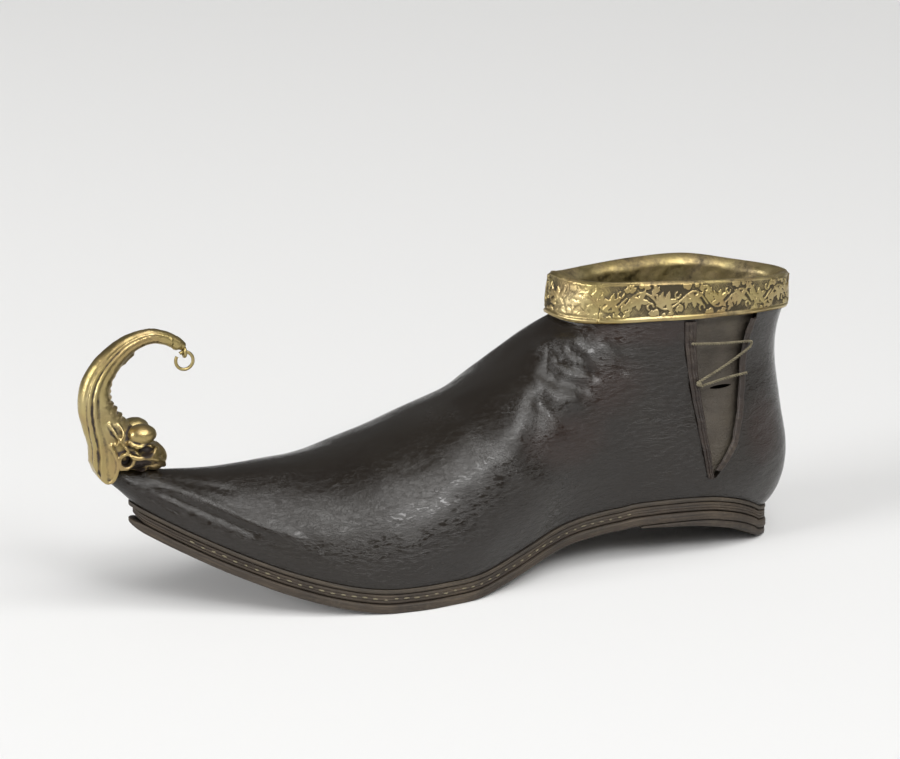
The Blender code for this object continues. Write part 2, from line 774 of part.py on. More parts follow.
# Places on the toe mount, as shares of the horn's rise ahead of and above the toe's tip,
# and how far out its features sit, as shares of the head's width
BASE_FRONT = (0.120, 0.085)
BASE_SLOPE = 0.22
BROW_PLACE = (-0.038, 0.435)
EYE_PLACE = (-0.080, 0.362)
SOCKET_PLACE = (0.058, 0.288)
LOOP_PLACE = (-0.3776, 0.8945)
BROW_OUT = 0.29
EYE_OUT = 0.47
SOCKET_OUT = 0.5


def mount_point(ahead, up, y=0.0):
    # A place on the toe mount, from the middle of the toe's tip
    tip = along_x(1.0)
    return np.array([tip + ahead * HORN_RISE, y, stack_height(tip, 0.0) + up * HORN_RISE])


def ball(name, centre, radius):
    bm = bmesh.new()
    bmesh.ops.create_uvsphere(bm, u_segments=14, v_segments=8, radius=radius,
                              matrix=Matrix.Translation(centre))
    return finish(bm, name, gilt)


def peg(name, centre, radius, length, segments=16):
    # A cylinder that lies across the shoe
    bm = bmesh.new()
    turn = Matrix.Translation(centre) @ Matrix.Rotation(math.pi / 2, 4, "X")
    bmesh.ops.create_cone(bm, cap_ends=True, segments=segments, radius1=radius, radius2=radius,
                          depth=length, matrix=turn)
    return finish(bm, name, gilt)


def toe_plug():
    # The leather toe, a gap larger all round, as the shape of the mount's socket
    bm = bmesh.new()
    stops = [t for t in SHELL_STOPS if t >= TIP_SECTION - 5]
    sides = []
    for side in (NEAR, FAR):
        sides.append([[offset_point(t, s, side, GAP) for s in SIDE_STOPS] for t in stops])
        add_grid(bm, sides[-1])
    add_grid(bm, [[a[0], b[0]] for a, b in zip(*sides)])
    add_grid(bm, [list(pair) for pair in zip(sides[0][0], sides[1][0])])
    return as_cutter(finish(bm, "toe_plug", None))


def make_toe_mount():
    spine = [mount_point(ahead, up) for ahead, up, _, _ in HORN]
    padded_spine = open_ended(spine)
    sizes = open_ended([(thick * HEAD_LENGTH, wide * HEAD_WIDTH) for _, _, thick, wide in HORN])
    bm = bmesh.new()
    rings = []
    for i in range((len(HORN) - 1) * 2 + 1):
        t = i / 2
        centre = spline(padded_spine, t)
        low, high = max(t - 0.02, 0.0), min(t + 0.02, len(HORN) - 1.0)
        run = unit(spline(padded_spine, high) - spline(padded_spine, low))
        out = np.array([run[2], 0.0, -run[0]])
        thick, wide = spline(sizes, t)
        ring = []
        for j in range(HORN_SIDES):
            turn = 2 * math.pi * j / HORN_SIDES
            ring.append(centre + out * math.cos(turn) * thick / 2
                        + np.array([0.0, math.sin(turn) * wide / 2, 0.0]))
        rings.append(ring)
    add_grid(bm, [ring + ring[:1] for ring in rings])
    for ring in (rings[0], rings[-1]):
        bm.faces.new([bm.verts.new(p) for p in ring])
    bmesh.ops.remove_doubles(bm, verts=bm.verts[:], dist=1e-6)
    cut = bmesh.ops.bisect_plane(bm, geom=bm.verts[:] + bm.edges[:] + bm.faces[:],
                                 plane_co=mount_point(*BASE_FRONT), plane_no=(-BASE_SLOPE, 0, -1),
                                 clear_outer=True)
    rim = [e for e in cut["geom_cut"] if isinstance(e, bmesh.types.BMEdge)]
    bmesh.ops.edgeloop_fill(bm, edges=rim)
    mount = finish(bm, "toe_mount", gilt)
    for side, word in ((NEAR, "near"), (FAR, "far")):
        brow = ball("brow_" + word, mount_point(*BROW_PLACE, side * BROW_OUT * HEAD_WIDTH),
                    BROW_RADIUS)
        boolean(mount, as_cutter(brow), "UNION")
    boolean(mount, as_cutter(tip_loop()), "UNION")
    for side, word in ((NEAR, "near"), (FAR, "far")):
        eye = ball("eye_" + word, mount_point(*EYE_PLACE, side * EYE_OUT * HEAD_WIDTH),
                   EYE_RADIUS)
        boolean(mount, as_cutter(eye), "DIFFERENCE")
        socket = peg("socket_" + word, mount_point(*SOCKET_PLACE, side * SOCKET_OUT * HEAD_WIDTH),
                     SOCKET_RADIUS, SOCKET_DEPTH)
        boolean(mount, as_cutter(socket), "DIFFERENCE")
    boolean(mount, toe_plug(), "DIFFERENCE")
    return mount


def tip_loop():
    # A small round loop at the horn's tip with its bore along the shoe
    rings = []
    radius = (LOOP_BORE + LOOP_WIRE) / 2
    for i in range(16):
        turn = 2 * math.pi * i / 16
        outward = np.array([0.0, math.cos(turn), math.sin(turn)])
        ring = []
        for j in range(8):
            roll = 2 * math.pi * j / 8
            place = outward * (radius + math.cos(roll) * LOOP_WIRE / 2)
            place[0] = math.sin(roll) * LOOP_WIRE / 2
            ring.append(mount_point(*LOOP_PLACE) + place)
        rings.append(ring + ring[:1])
    bm = bmesh.new()
    add_grid(bm, rings + rings[:1])
    return finish(bm, "tip_loop", gilt)


def make_ring():
    # An open jump ring that hangs through the loop
    centre = mount_point(*LOOP_PLACE) - np.array([0.0, 0.0, RING_RADIUS])
    start = RING_OPENING_AT + RING_OPENING / 2
    end = RING_OPENING_AT - RING_OPENING / 2 + 360.0
    path = []
    for i in range(25):
        turn = math.radians(start + (end - start) * i / 24)
        path.append(centre + RING_RADIUS * np.array([math.cos(turn), 0.0, math.sin(turn)]))
    add_wire("toe_ring", path, RING_WIRE / 2, gilt)


make_sole()
make_rand()
make_insole()
make_upper()
make_gusset()
make_facing()
make_lace()
make_band()
make_toe_mount()
make_ring()
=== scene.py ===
import math
import random

import bpy
import numpy as np
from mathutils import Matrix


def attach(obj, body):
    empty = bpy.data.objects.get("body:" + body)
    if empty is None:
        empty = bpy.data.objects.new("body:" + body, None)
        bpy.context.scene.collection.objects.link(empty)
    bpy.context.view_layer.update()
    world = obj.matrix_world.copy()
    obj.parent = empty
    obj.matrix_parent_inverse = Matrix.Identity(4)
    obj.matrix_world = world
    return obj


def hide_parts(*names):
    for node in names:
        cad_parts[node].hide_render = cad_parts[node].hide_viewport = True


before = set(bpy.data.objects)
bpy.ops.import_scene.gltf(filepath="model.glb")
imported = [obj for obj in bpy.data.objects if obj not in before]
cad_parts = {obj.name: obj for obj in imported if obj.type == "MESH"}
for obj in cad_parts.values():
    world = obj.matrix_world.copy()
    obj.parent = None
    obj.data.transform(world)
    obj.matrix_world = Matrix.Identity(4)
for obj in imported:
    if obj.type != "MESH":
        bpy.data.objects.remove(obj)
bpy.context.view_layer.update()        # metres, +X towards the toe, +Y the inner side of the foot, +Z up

random.seed(7)
near, far = 1, -1
gap = 0.0003


# small helpers

def pick(*pieces):
    # only these pieces are selected, and the last one is active
    if bpy.context.mode != "OBJECT":
        bpy.ops.object.mode_set(mode="OBJECT")
    bpy.ops.object.select_all(action="DESELECT")
    for piece in pieces:
        piece.select_set(True)
    bpy.context.view_layer.objects.active = pieces[-1]


def fresh(add, **settings):
    # what an add operator makes, with nothing else selected
    bpy.ops.object.select_all(action="DESELECT")
    add(**settings)
    return bpy.context.active_object


def editing(piece, *steps):
    # mesh operators run in turn on all of a piece; each step is an operator and its settings
    pick(piece)
    bpy.ops.object.mode_set(mode="EDIT")
    for step, settings in steps:
        bpy.ops.mesh.select_all(action="SELECT")
        step(**settings)
    bpy.ops.object.mode_set(mode="OBJECT")
    return piece


def readPoints(piece, what="co"):
    flat = np.zeros(len(piece.data.vertices) * 3)
    piece.data.vertices.foreach_get(what, flat)
    return flat.reshape(-1, 3)


def writePoints(piece, points):
    piece.data.vertices.foreach_set("co", np.asarray(points, float).ravel())
    piece.data.update()


def gridPiece(name, stepsU, stepsV, place):
    # a grid primitive laid out by place(u, v), which gives points and their lengths in metres
    piece = fresh(bpy.ops.mesh.primitive_grid_add, x_subdivisions=stepsU, y_subdivisions=stepsV,
                  size=2)
    piece.name = name
    flat = readPoints(piece)
    u, v = (np.round((flat[:, axis] + 1) / 2, 7) for axis in (0, 1))
    points, lengths = place(u, v)
    writePoints(piece, points)
    corner = np.zeros(len(piece.data.loops), int)
    piece.data.loops.foreach_get("vertex_index", corner)
    piece.data.uv_layers[0].data.foreach_set("uv", lengths[corner].astype(float).ravel())
    return piece


def joinUp(name, pieces, merge=2e-6):
    # one piece from several, with its seams merged and its faces turned out
    pick(*pieces)
    if len(pieces) > 1:
        bpy.ops.object.join()
    piece = bpy.context.active_object
    piece.name = piece.data.name = name
    return editing(piece, (bpy.ops.mesh.remove_doubles, {"threshold": merge}),
                   (bpy.ops.mesh.dissolve_degenerate, {"threshold": 1e-7}),
                   (bpy.ops.mesh.normals_make_consistent, {"inside": False}))


def closeHoles(piece):
    return editing(piece, (bpy.ops.mesh.fill_holes, {"sides": 0}),
                   (bpy.ops.mesh.normals_make_consistent, {"inside": False}))


def modify(piece, kind, **settings):
    pick(piece)
    change = piece.modifiers.new(kind.lower(), kind)
    for key, value in settings.items():
        setattr(change, key, value)
    bpy.ops.object.modifier_apply(modifier=change.name)
    return piece


def combine(piece, other, operation):
    modify(piece, "BOOLEAN", operation=operation, object=other, solver="EXACT")
    bpy.data.objects.remove(other, do_unlink=True)
    return piece


def smoothOut(piece, angle=35):
    pick(piece)
    bpy.ops.object.shade_smooth_by_angle(angle=math.radians(angle))
    return piece


def settle(piece):
    # place, turn and size go into the mesh
    pick(piece)
    bpy.ops.object.transform_apply(location=True, rotation=True, scale=True)
    return piece


def ellipsoid(place, size, segments=32):
    return settle(fresh(bpy.ops.mesh.primitive_uv_sphere_add, segments=segments,
                        ring_count=segments // 2, radius=1, location=place, scale=size))


def torus(place, major, minor, turn=(0, 0, 0)):
    return settle(fresh(bpy.ops.mesh.primitive_torus_add, location=place, rotation=turn,
                        major_radius=major, minor_radius=minor, major_segments=40,
                        minor_segments=12))


def dress(piece, look, body="shoe", standsFor=()):
    piece.data.materials.clear()
    piece.data.materials.append(look)
    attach(piece, body)
    if standsFor:
        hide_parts(*standsFor)
    return piece


def paint(piece, name, values):
    # a number for each point, which a material reads by its name
    layer = piece.data.attributes.get(name) or piece.data.attributes.new(name, "FLOAT", "POINT")
    layer.data.foreach_set("value", np.asarray(values, float))


def hollowness(piece, rounds=3, scale=1.0):
    # how far each point lies in a groove: 0 on a ridge, 0.5 on a flat, 1 in a groove
    mesh, fullDepth = piece.data, 0.0002
    points, normals = readPoints(piece), readPoints(piece, "normal")
    ends = np.zeros(len(mesh.edges) * 2, int)
    mesh.edges.foreach_get("vertices", ends)
    a, b = ends.reshape(-1, 2).T
    count = np.bincount(np.r_[a, b], minlength=len(points)).clip(1)

    def average(values):
        total = np.zeros_like(values)
        np.add.at(total, a, values[b])
        np.add.at(total, b, values[a])
        return (total.T / count).T

    around = points
    for _ in range(rounds):
        around = average(around)
    depth = average(((around - points) * normals).sum(1))
    return np.clip(0.5 + depth * scale / fullDepth, 0, 1)


def soft(low, high, value):
    f = np.clip((value - low) / (high - low), 0, 1)
    return f * f * (3 - 2 * f)


def bump(value, middle, width):
    return np.exp(-((value - middle) / width) ** 2)


def between(a, b, share):
    return a + (b - a) * share[:, None]


def offLine(spots, a, b):
    # how far along the line from a to b each spot is, and how far off it
    run = b - a
    share = np.clip(((spots - a) @ run) / (run @ run), 0, 1)
    return share, np.linalg.norm(spots - a - share[:, None] * run, axis=1)


def lengthAlong(points):
    return np.r_[0, np.cumsum(np.linalg.norm(np.diff(points, axis=0), axis=1))]


# the shoe's own shape

shoe = {
    "soleLength": 0.2535, "heelWidth": 0.057,
    "heelRestStart": 0.0025, "heelRestLength": 0.008, "ballRestStart": 0.134,
    "ballRestLength": 0.034, "archRise": 0.013, "archPower": 0.92, "archEase": 0.009,
    "toeSpring": 0.0315, "toeSpringPower": 1.6, "heelCurl": 0.0035, "outsole": 0.0033,
    "midsole": 0.0034, "rand": 0.0015, "randWidth": 0.0085, "lift": 0.0026, "liftEdge": 0.0007,
    "liftLength": 0.064, "liftSkive": 0.030, "wall": 0.0024, "insole": 0.0015,
    "insoleGap": 0.0008,
    "instepRise": 0.0665, "featherInset": 0.0008, "footLean": 0.15,
}
heelBack = -(shoe["heelRestStart"] + shoe["heelRestLength"] / 2)
toeTip = heelBack + shoe["soleLength"]

soleOutline = np.array([  # along the sole's length, near side, far side, the width they share
    (0.000, 0.000, 0.000, 0.057), (0.016, 0.263, 0.263, 0.057), (0.055, 0.410, 0.410, 0.057),
    (0.118, 0.495, 0.500, 0.057), (0.197, 0.495, 0.520, 0.057), (0.284, 0.460, 0.540, 0.0556),
    (0.375, 0.490, 0.590, 0.0556), (0.442, 0.390, 0.425, 0.0855), (0.497, 0.440, 0.454, 0.0855),
    (0.544, 0.477, 0.476, 0.0855), (0.592, 0.497, 0.489, 0.0855), (0.643, 0.502, 0.491, 0.0855),
    (0.710, 0.468, 0.468, 0.0855), (0.781, 0.398, 0.415, 0.0855), (0.852, 0.296, 0.322, 0.0855),
    (0.919, 0.190, 0.212, 0.0855), (0.9665, 0.108, 0.120, 0.0855), (0.992, 0.058, 0.062, 0.0855),
    (1.000, 0.000, 0.000, 0.0855)])
collar = {
    "length": 0.098, "width": 0.056, "back": -0.0090, "backHeight": 0.1013,
    "frontHeight": 0.1085, "lean": 0.0024, "height": 0.0143, "taper": 0.19,
    "thickness": 0.0010, "lining": 0.0125, "bead": 0.0006,
}
collarOutline = np.array([  # along, near side, far side, near lift, far lift
    (0.000, 0.000, 0.000, 0.00, 0.00), (0.022, 0.120, 0.140, 0.01, 0.00),
    (0.110, 0.300, 0.340, 0.07, -0.01), (0.300, 0.445, 0.480, 0.11, 0.07),
    (0.520, 0.500, 0.500, 0.12, -0.05), (0.720, 0.480, 0.450, 0.09, -0.19),
    (0.865, 0.385, 0.330, 0.00, -0.22), (0.962, 0.225, 0.175, -0.05, -0.14),
    (1.000, 0.000, 0.000, 0.00, 0.00)])
ridgeLine = np.array([  # along the sole's length, rise over the sole
    (0.3886, 1.000), (0.444, 0.878), (0.521, 0.822), (0.615, 0.714), (0.718, 0.586),
    (0.817, 0.456), (0.903, 0.314), (0.9625, 0.208), (1.006, 0.108), (1.024, 0.072)])
sideShape = np.array([  # out, rise, ahead, side, drop
    (0.350, 0.24, 0.240, 0.000, 0.35), (0.310, 0.25, 0.190, -0.030, 0.35),
    (0.210, 0.27, 0.125, -0.070, 0.35), (0.120, 0.28, 0.060, -0.070, 0.35),
    (0.085, 0.30, 0.010, -0.040, 0.36), (0.090, 0.32, 0.060, 0.010, 0.34),
    (0.125, 0.34, 0.160, 0.110, 0.28), (0.094, 0.36, 0.120, 0.175, 0.20),
    (0.090, 0.38, 0.115, 0.270, 0.13), (0.080, 0.42, 0.090, 0.280, 0.075),
    (0.070, 0.46, 0.050, 0.295, 0.030), (0.060, 0.50, 0.035, 0.304, 0.015),
    (0.058, 0.52, 0.025, 0.285, 0.008), (0.055, 0.52, 0.010, 0.240, 0.000),
    (0.047, 0.52, 0.000, 0.180, 0.000), (0.041, 0.52, 0.000, 0.120, 0.000),
    (0.030, 0.50, 0.000, 0.074, 0.000), (0.023, 0.50, 0.000, 0.042, 0.000),
    (0.023, 0.50, 0.000, 0.000, 0.000)])
frontSection, tipSection = len(collarOutline) - 1, len(soleOutline) - 1


def mirrored(rows):
    rows = np.asarray(rows, float)
    flip = np.ones(rows.shape[1])
    flip[1] = -1
    return np.vstack([rows[1] * flip, rows, rows[-2] * flip])


def openEnded(rows):
    rows = np.asarray(rows, float)
    return np.vstack([2 * rows[0] - rows[1], rows, 2 * rows[-1] - rows[-2]])


def spline(rows, t):
    # a smooth curve through the rows between the first and the last
    t = np.atleast_1d(np.asarray(t, float))
    k = np.clip(t.astype(int), 0, len(rows) - 4)
    f = (t - k)[:, None]
    a, b, c, d = rows[k], rows[k + 1], rows[k + 2], rows[k + 3]
    return 0.5 * (2 * b + (c - a) * f + (2 * a - 5 * b + 4 * c - d) * f ** 2
                  + (3 * b - a - 3 * c + d) * f ** 3)


def unit(vectors):
    return vectors / np.linalg.norm(vectors, axis=-1, keepdims=True).clip(1e-12)


def alongX(share):
    return heelBack + share * shoe["soleLength"]


def centreHeight(x):
    along = np.clip(x - heelBack, 0, shoe["soleLength"])
    heelEnd = shoe["heelRestStart"] + shoe["heelRestLength"]
    ballEnd = shoe["ballRestStart"] + shoe["ballRestLength"]
    arch = np.clip((along - heelEnd) / (shoe["ballRestStart"] - heelEnd), 0, 1)
    toe = np.clip((along - ballEnd) / (shoe["soleLength"] - ballEnd), 0, 1)
    # the arch runs out into the forefoot in a short curve, not in a corner
    ease = shoe["archEase"]
    slope = shoe["archRise"] * math.pi * shoe["archPower"] / (shoe["ballRestStart"] - heelEnd)
    off = np.abs(along - shoe["ballRestStart"])
    corner = slope * np.clip(ease - off, 0, None) ** 2 / (4 * ease)
    return (shoe["archRise"] * np.sin(math.pi * arch ** shoe["archPower"]).clip(0) + corner
            + shoe["toeSpring"] * toe ** shoe["toeSpringPower"])


def baseHeight(x, y):
    half = shoe["heelWidth"] / 2
    fade = 1 - soft(0.012, 0.070, x - heelBack)
    return centreHeight(x) + shoe["heelCurl"] * soft(0.45 * half, half, np.abs(y)) * fade


def liftHeight(x):
    front = heelBack + shoe["liftLength"]
    share = np.clip((x - front + shoe["liftSkive"]) / shoe["liftSkive"], 0, 1)
    over = shoe["lift"] + (shoe["liftEdge"] - shoe["lift"]) * share + gap
    past = (shoe["liftEdge"] + gap) * (1 - soft(0, 0.008, x - front - 2 * gap))
    return np.where(x <= front + 2 * gap, over, past)


def outsoleLow(x, y):
    return baseHeight(x, y) + liftHeight(x)


def midsoleLow(x, y):
    return outsoleLow(x, y) + shoe["outsole"] + gap


def randLow(x, y):
    return midsoleLow(x, y) + shoe["midsole"] + gap


def stackHeight(x, y):
    return randLow(x, y) + shoe["rand"]


outlineRows = {side: mirrored(np.c_[alongX(soleOutline[:, 0]),
                                    side * soleOutline[:, column] * soleOutline[:, 3]])
               for side, column in ((near, 1), (far, 2))}
collarRows = {side: mirrored(np.c_[collarOutline[:, 0] * collar["length"],
                                   side * collarOutline[:, column] * collar["width"],
                                   collarOutline[:, column + 2] * collar["height"]])
              for side, column in ((near, 1), (far, 2))}


def drawnIn(rows, t, side, inset, last):
    # points of a plan curve, moved inwards by inset
    t = np.atleast_1d(np.asarray(t, float))
    here = spline(rows, t)
    run = (spline(rows, np.minimum(t + 0.01, last)) - spline(rows, np.maximum(t - 0.01, 0)))[:, :2]
    run = np.where((t <= 0)[:, None], (0.0, side), run)
    run = np.where((t >= last)[:, None], (0.0, -side), run)
    outward = unit(np.c_[-run[:, 1], run[:, 0]]) * side
    here[:, :2] -= outward * np.atleast_1d(inset)[:, None]
    return here, outward


def outline(t, side, inset=0.0):
    return drawnIn(outlineRows[side], t, side, inset, tipSection)


def collarPoint(t, side, inset, drop):
    here, _ = drawnIn(collarRows[side], t, side, inset, frontSection)
    share = here[:, 0] / collar["length"]
    rise = collar["backHeight"] + (collar["frontHeight"] - collar["backHeight"]) * share
    lean = collar["lean"] * drop / collar["height"] * share
    fall = drop * (1 + collar["taper"] * (share - 0.5))
    return np.c_[heelBack + collar["back"] + here[:, 0] + lean, here[:, 1],
                 rise + here[:, 2] - fall]


collarInset = collar["thickness"] + gap
collarDrop = collar["height"] + 2.5 * gap
sections = {}
for side in (near, far):
    sectionStops = np.arange(tipSection + 1)
    foot, outward = outline(sectionStops, side, shoe["featherInset"])
    foot = np.c_[foot, stackHeight(foot[:, 0], foot[:, 1]) + gap]
    ridgeX = alongX(ridgeLine[:, 0])
    ridgeZ = stackHeight(ridgeX, 0 * ridgeX) + gap + ridgeLine[:, 1] * shoe["instepRise"]
    top = np.vstack([collarPoint(sectionStops[:frontSection + 1], side, collarInset, collarDrop),
                     np.c_[ridgeX, 0 * ridgeX, ridgeZ]])
    width, tall = soleOutline[:, 3:4], (top - foot)[:, 2:3]
    zeros = 0 * tall
    lean = shoe["footLean"] * (top - foot)[:, :1]
    lowHandle = foot + np.c_[outward * sideShape[:, :1] * width + np.c_[lean, zeros],
                             sideShape[:, 1:2] * tall]
    highHandle = top + np.c_[sideShape[:, 2:3] * width, side * sideShape[:, 3:4] * width,
                             -sideShape[:, 4:5] * tall]
    sections[side] = (mirrored(foot), mirrored(lowHandle), mirrored(highHandle),
                      openEnded(top[frontSection:]))


def plainSurface(t, s, side):
    foot, low, high, ridge = sections[side]
    over = np.clip(t - frontSection, 0, None)
    top = np.where((t <= frontSection)[:, None],
                   collarPoint(np.minimum(t, frontSection), side, collarInset, collarDrop),
                   spline(ridge, over))
    s = s[:, None]
    r = 1 - s
    start = spline(foot, t)
    start[:, 2] = stackHeight(start[:, 0], start[:, 1]) + gap
    return (r ** 3 * start + 3 * r * r * s * spline(low, t) + 3 * r * s * s * spline(high, t)
            + s ** 3 * top)


def plainNormal(t, s, side):
    step = 0.02
    t0, t1 = np.maximum(t - step, 0), np.minimum(t + step, tipSection)
    t1 = np.where((t <= frontSection) & (t1 > frontSection), frontSection, t1)
    t0 = np.where((t > frontSection) & (t0 < frontSection), frontSection, t0)
    s0, s1 = np.maximum(s - step, 0), np.minimum(s + step, 1)
    run = plainSurface(t1, s, side) - plainSurface(t0, s, side)
    rise = plainSurface(t, s1, side) - plainSurface(t, s0, side)
    return unit(np.cross(rise, run)) * side


def leather(t, s, side, offset=0.0):
    # points of the upper's outer face, moved out by offset, and the way out there
    t, s = np.asarray(t, float), np.asarray(s, float)
    points, normals = plainSurface(t, s, side), plainNormal(t, s, side)
    middle = np.abs(points[:, 1]) < 1e-7
    if middle.any():
        both = (normals + plainNormal(t, s, -side)) * (1, 0, 1)
        normals = np.where(middle[:, None], unit(both), normals)
    return points + normals * np.atleast_1d(offset)[:, None], normals


def onSide(x, z, offset):
    # points of the inner side at given places along and up
    t, s = np.full(len(x), 3.6), np.full(len(x), 0.5)
    step = 0.01
    for _ in range(14):
        here = plainSurface(t, s, near)
        byT = (plainSurface(t + step, s, near) - here) / step
        byS = (plainSurface(t, s + step, near) - here) / step
        missX, missZ = x - here[:, 0], z - here[:, 2]
        scale = byT[:, 0] * byS[:, 2] - byS[:, 0] * byT[:, 2]
        t = np.clip(t + (missX * byS[:, 2] - missZ * byS[:, 0]) / scale, 0.8, 7.5)
        s = np.clip(s + (missZ * byT[:, 0] - missX * byT[:, 2]) / scale, 0.02, 0.985)
    return plainSurface(t, s, near) + plainNormal(t, s, near) * np.atleast_1d(offset)[:, None]


# node groups and materials

def newGroup(name, inputs, outputs):
    # a shader group with named sockets; inputs are name, kind and start value
    group = bpy.data.node_groups.new(name, "ShaderNodeTree")
    for title, kind, value in inputs:
        socket = group.interface.new_socket(name=title, in_out="INPUT", socket_type=kind)
        if value is not None:
            socket.default_value = value
    for title, kind in outputs:
        group.interface.new_socket(name=title, in_out="OUTPUT", socket_type=kind)
    return group, group.nodes.new("NodeGroupInput"), group.nodes.new("NodeGroupOutput")


def wire(source, target):
    source.id_data.links.new(source, target)


def fill(sockets, values):
    # each socket gets its value, which is a number, a colour or another node's output
    for socket, value in zip(sockets, values):
        if isinstance(value, bpy.types.NodeSocket):
            wire(value, socket)
        else:
            socket.default_value = (*value, 1) if isinstance(value, tuple) else value


def treeOf(*values):
    return next(value.id_data for value in values if isinstance(value, bpy.types.NodeSocket))


def noise(vector, scale, detail=4.0, rough=0.55, distortion=0.0):
    node = vector.id_data.nodes.new("ShaderNodeTexNoise")
    fill([node.inputs[k] for k in ("Vector", "Scale", "Detail", "Roughness", "Distortion")],
         (vector, scale, detail, rough, distortion))
    return node.outputs["Fac"]


def ramp(value, *stops):
    # stops are a place and a grey or a colour
    node = value.id_data.nodes.new("ShaderNodeValToRGB")
    cells = node.color_ramp.elements
    while len(cells) < len(stops):
        cells.new(0.5)
    for cell, (place, colour) in zip(cells, stops):
        cell.position = place
        cell.color = (*colour, 1) if isinstance(colour, tuple) else (colour, colour, colour, 1)
    wire(value, node.inputs["Fac"])
    return node.outputs["Color"]


def mixed(share, first, second):
    node = share.id_data.nodes.new("ShaderNodeMix")
    node.data_type = "RGBA"
    fill([node.inputs[k] for k in (0, 6, 7)], (share, first, second))
    return node.outputs[2]


def sums(operation, first, second, clamp=False):
    node = treeOf(first, second).nodes.new("ShaderNodeMath")
    node.operation = operation
    node.use_clamp = clamp
    fill(node.inputs, (first, second))
    return node.outputs[0]


def times(first, second, clamp=False):
    return sums("MULTIPLY", first, second, clamp)


def plus(first, second):
    return sums("ADD", first, second)


def stretched(vector, scale, turn=(0, 0, 0)):
    node = vector.id_data.nodes.new("ShaderNodeMapping")
    node.inputs["Scale"].default_value = scale
    node.inputs["Rotation"].default_value = [math.radians(a) for a in turn]
    wire(vector, node.inputs["Vector"])
    return node.outputs["Vector"]


def makeGrainGroup():
    # wrinkled leather grain: a height, and a slow mottling
    group, start, end = newGroup(
        "wrinkledGrain",
        [("Vector", "NodeSocketVector", None), ("Pore Scale", "NodeSocketFloat", 900.0),
         ("Wrinkle Scale", "NodeSocketFloat", 160.0)],
        [("Height", "NodeSocketFloat"), ("Mottle", "NodeSocketFloat")])
    vector = start.outputs["Vector"]
    cells = group.nodes.new("ShaderNodeTexVoronoi")
    cells.feature = "DISTANCE_TO_EDGE"
    wire(start.outputs["Pore Scale"], cells.inputs["Scale"])
    wire(vector, cells.inputs["Vector"])
    pores = sums("MINIMUM", cells.outputs["Distance"], 0.35)
    lines = noise(stretched(vector, (1.0, 1.0, 2.4), (0, 25, 0)), start.outputs["Wrinkle Scale"],
                  6.0, 0.62, 0.6)
    folds = sums("ABSOLUTE", sums("SUBTRACT", lines, 0.5), 0)
    folds = times(sums("MINIMUM", folds, 0.09), 6.0)
    height = plus(plus(times(pores, 0.35), folds), times(noise(vector, 1500.0, 3.0), 0.22))
    wire(height, end.inputs["Height"])
    wire(noise(vector, 34.0, 5.0, 0.6, 0.4), end.inputs["Mottle"])
    return group


def makeStreakGroup():
    # fibres that run along a cut edge: a height and a tone
    group, start, end = newGroup("cutFibre", [("Vector", "NodeSocketVector", None)],
                                 [("Height", "NodeSocketFloat"), ("Tone", "NodeSocketFloat")])
    vector = start.outputs["Vector"]
    streaks = noise(stretched(vector, (70.0, 2200.0, 1.0)), 1.0, 5.0, 0.65, 0.3)
    shreds = noise(stretched(vector, (420.0, 1500.0, 1.0)), 1.0, 3.0, 0.6, 1.2)
    wire(plus(times(streaks, 0.6), times(shreds, 0.4)), end.inputs["Height"])
    wire(plus(times(streaks, 0.7), times(noise(vector, 60.0), 0.3)), end.inputs["Tone"])
    return group


def makeDustGroup():
    # pale dust and scuffs in soft patches
    group, start, end = newGroup(
        "dustAndScuffs", [("Vector", "NodeSocketVector", None), ("Amount", "NodeSocketFloat", 0.5)],
        [("Dust", "NodeSocketFloat")])
    vector = start.outputs["Vector"]
    wide = ramp(noise(vector, 22.0, 4.0, 0.6), (0.45, 0.0), (0.75, 1.0))
    small = ramp(noise(vector, 700.0, 3.0, 0.7), (0.48, 0.0), (0.68, 1.0))
    wire(times(times(wide, small), start.outputs["Amount"], True), end.inputs["Dust"])
    return group


grainGroup, streakGroup, dustGroup = makeGrainGroup(), makeStreakGroup(), makeDustGroup()


def placeGroup(group, vector, **values):
    node = vector.id_data.nodes.new("ShaderNodeGroup")
    node.node_tree = group
    wire(vector, node.inputs["Vector"])
    for key, value in values.items():
        node.inputs[key.replace("_", " ")].default_value = value
    return node


def newLook(name, roughness=0.5, **shaderValues):
    # a material, its shader, and its object and surface coordinates
    look = bpy.data.materials.new(name)
    look.use_nodes = True
    tree = look.node_tree
    shader = tree.nodes["Principled BSDF"]
    for key, value in {"Roughness": roughness, **shaderValues}.items():
        shader.inputs[key.replace("_", " ")].default_value = value
    coordinates = tree.nodes.new("ShaderNodeTexCoord")
    return look, shader, coordinates.outputs["Object"], coordinates.outputs["UV"]


def painted(shader, name):
    node = shader.id_data.nodes.new("ShaderNodeAttribute")
    node.attribute_name = name
    return node.outputs["Fac"]


def bumped(shader, height, distance, strength=1.0, normal=None):
    node = shader.id_data.nodes.new("ShaderNodeBump")
    node.inputs["Distance"].default_value = distance
    node.inputs["Strength"].default_value = strength
    wire(height, node.inputs["Height"])
    if normal is not None:
        wire(normal, node.inputs["Normal"])
    wire(node.outputs["Normal"], shader.inputs["Normal"])
    return node.outputs["Normal"]


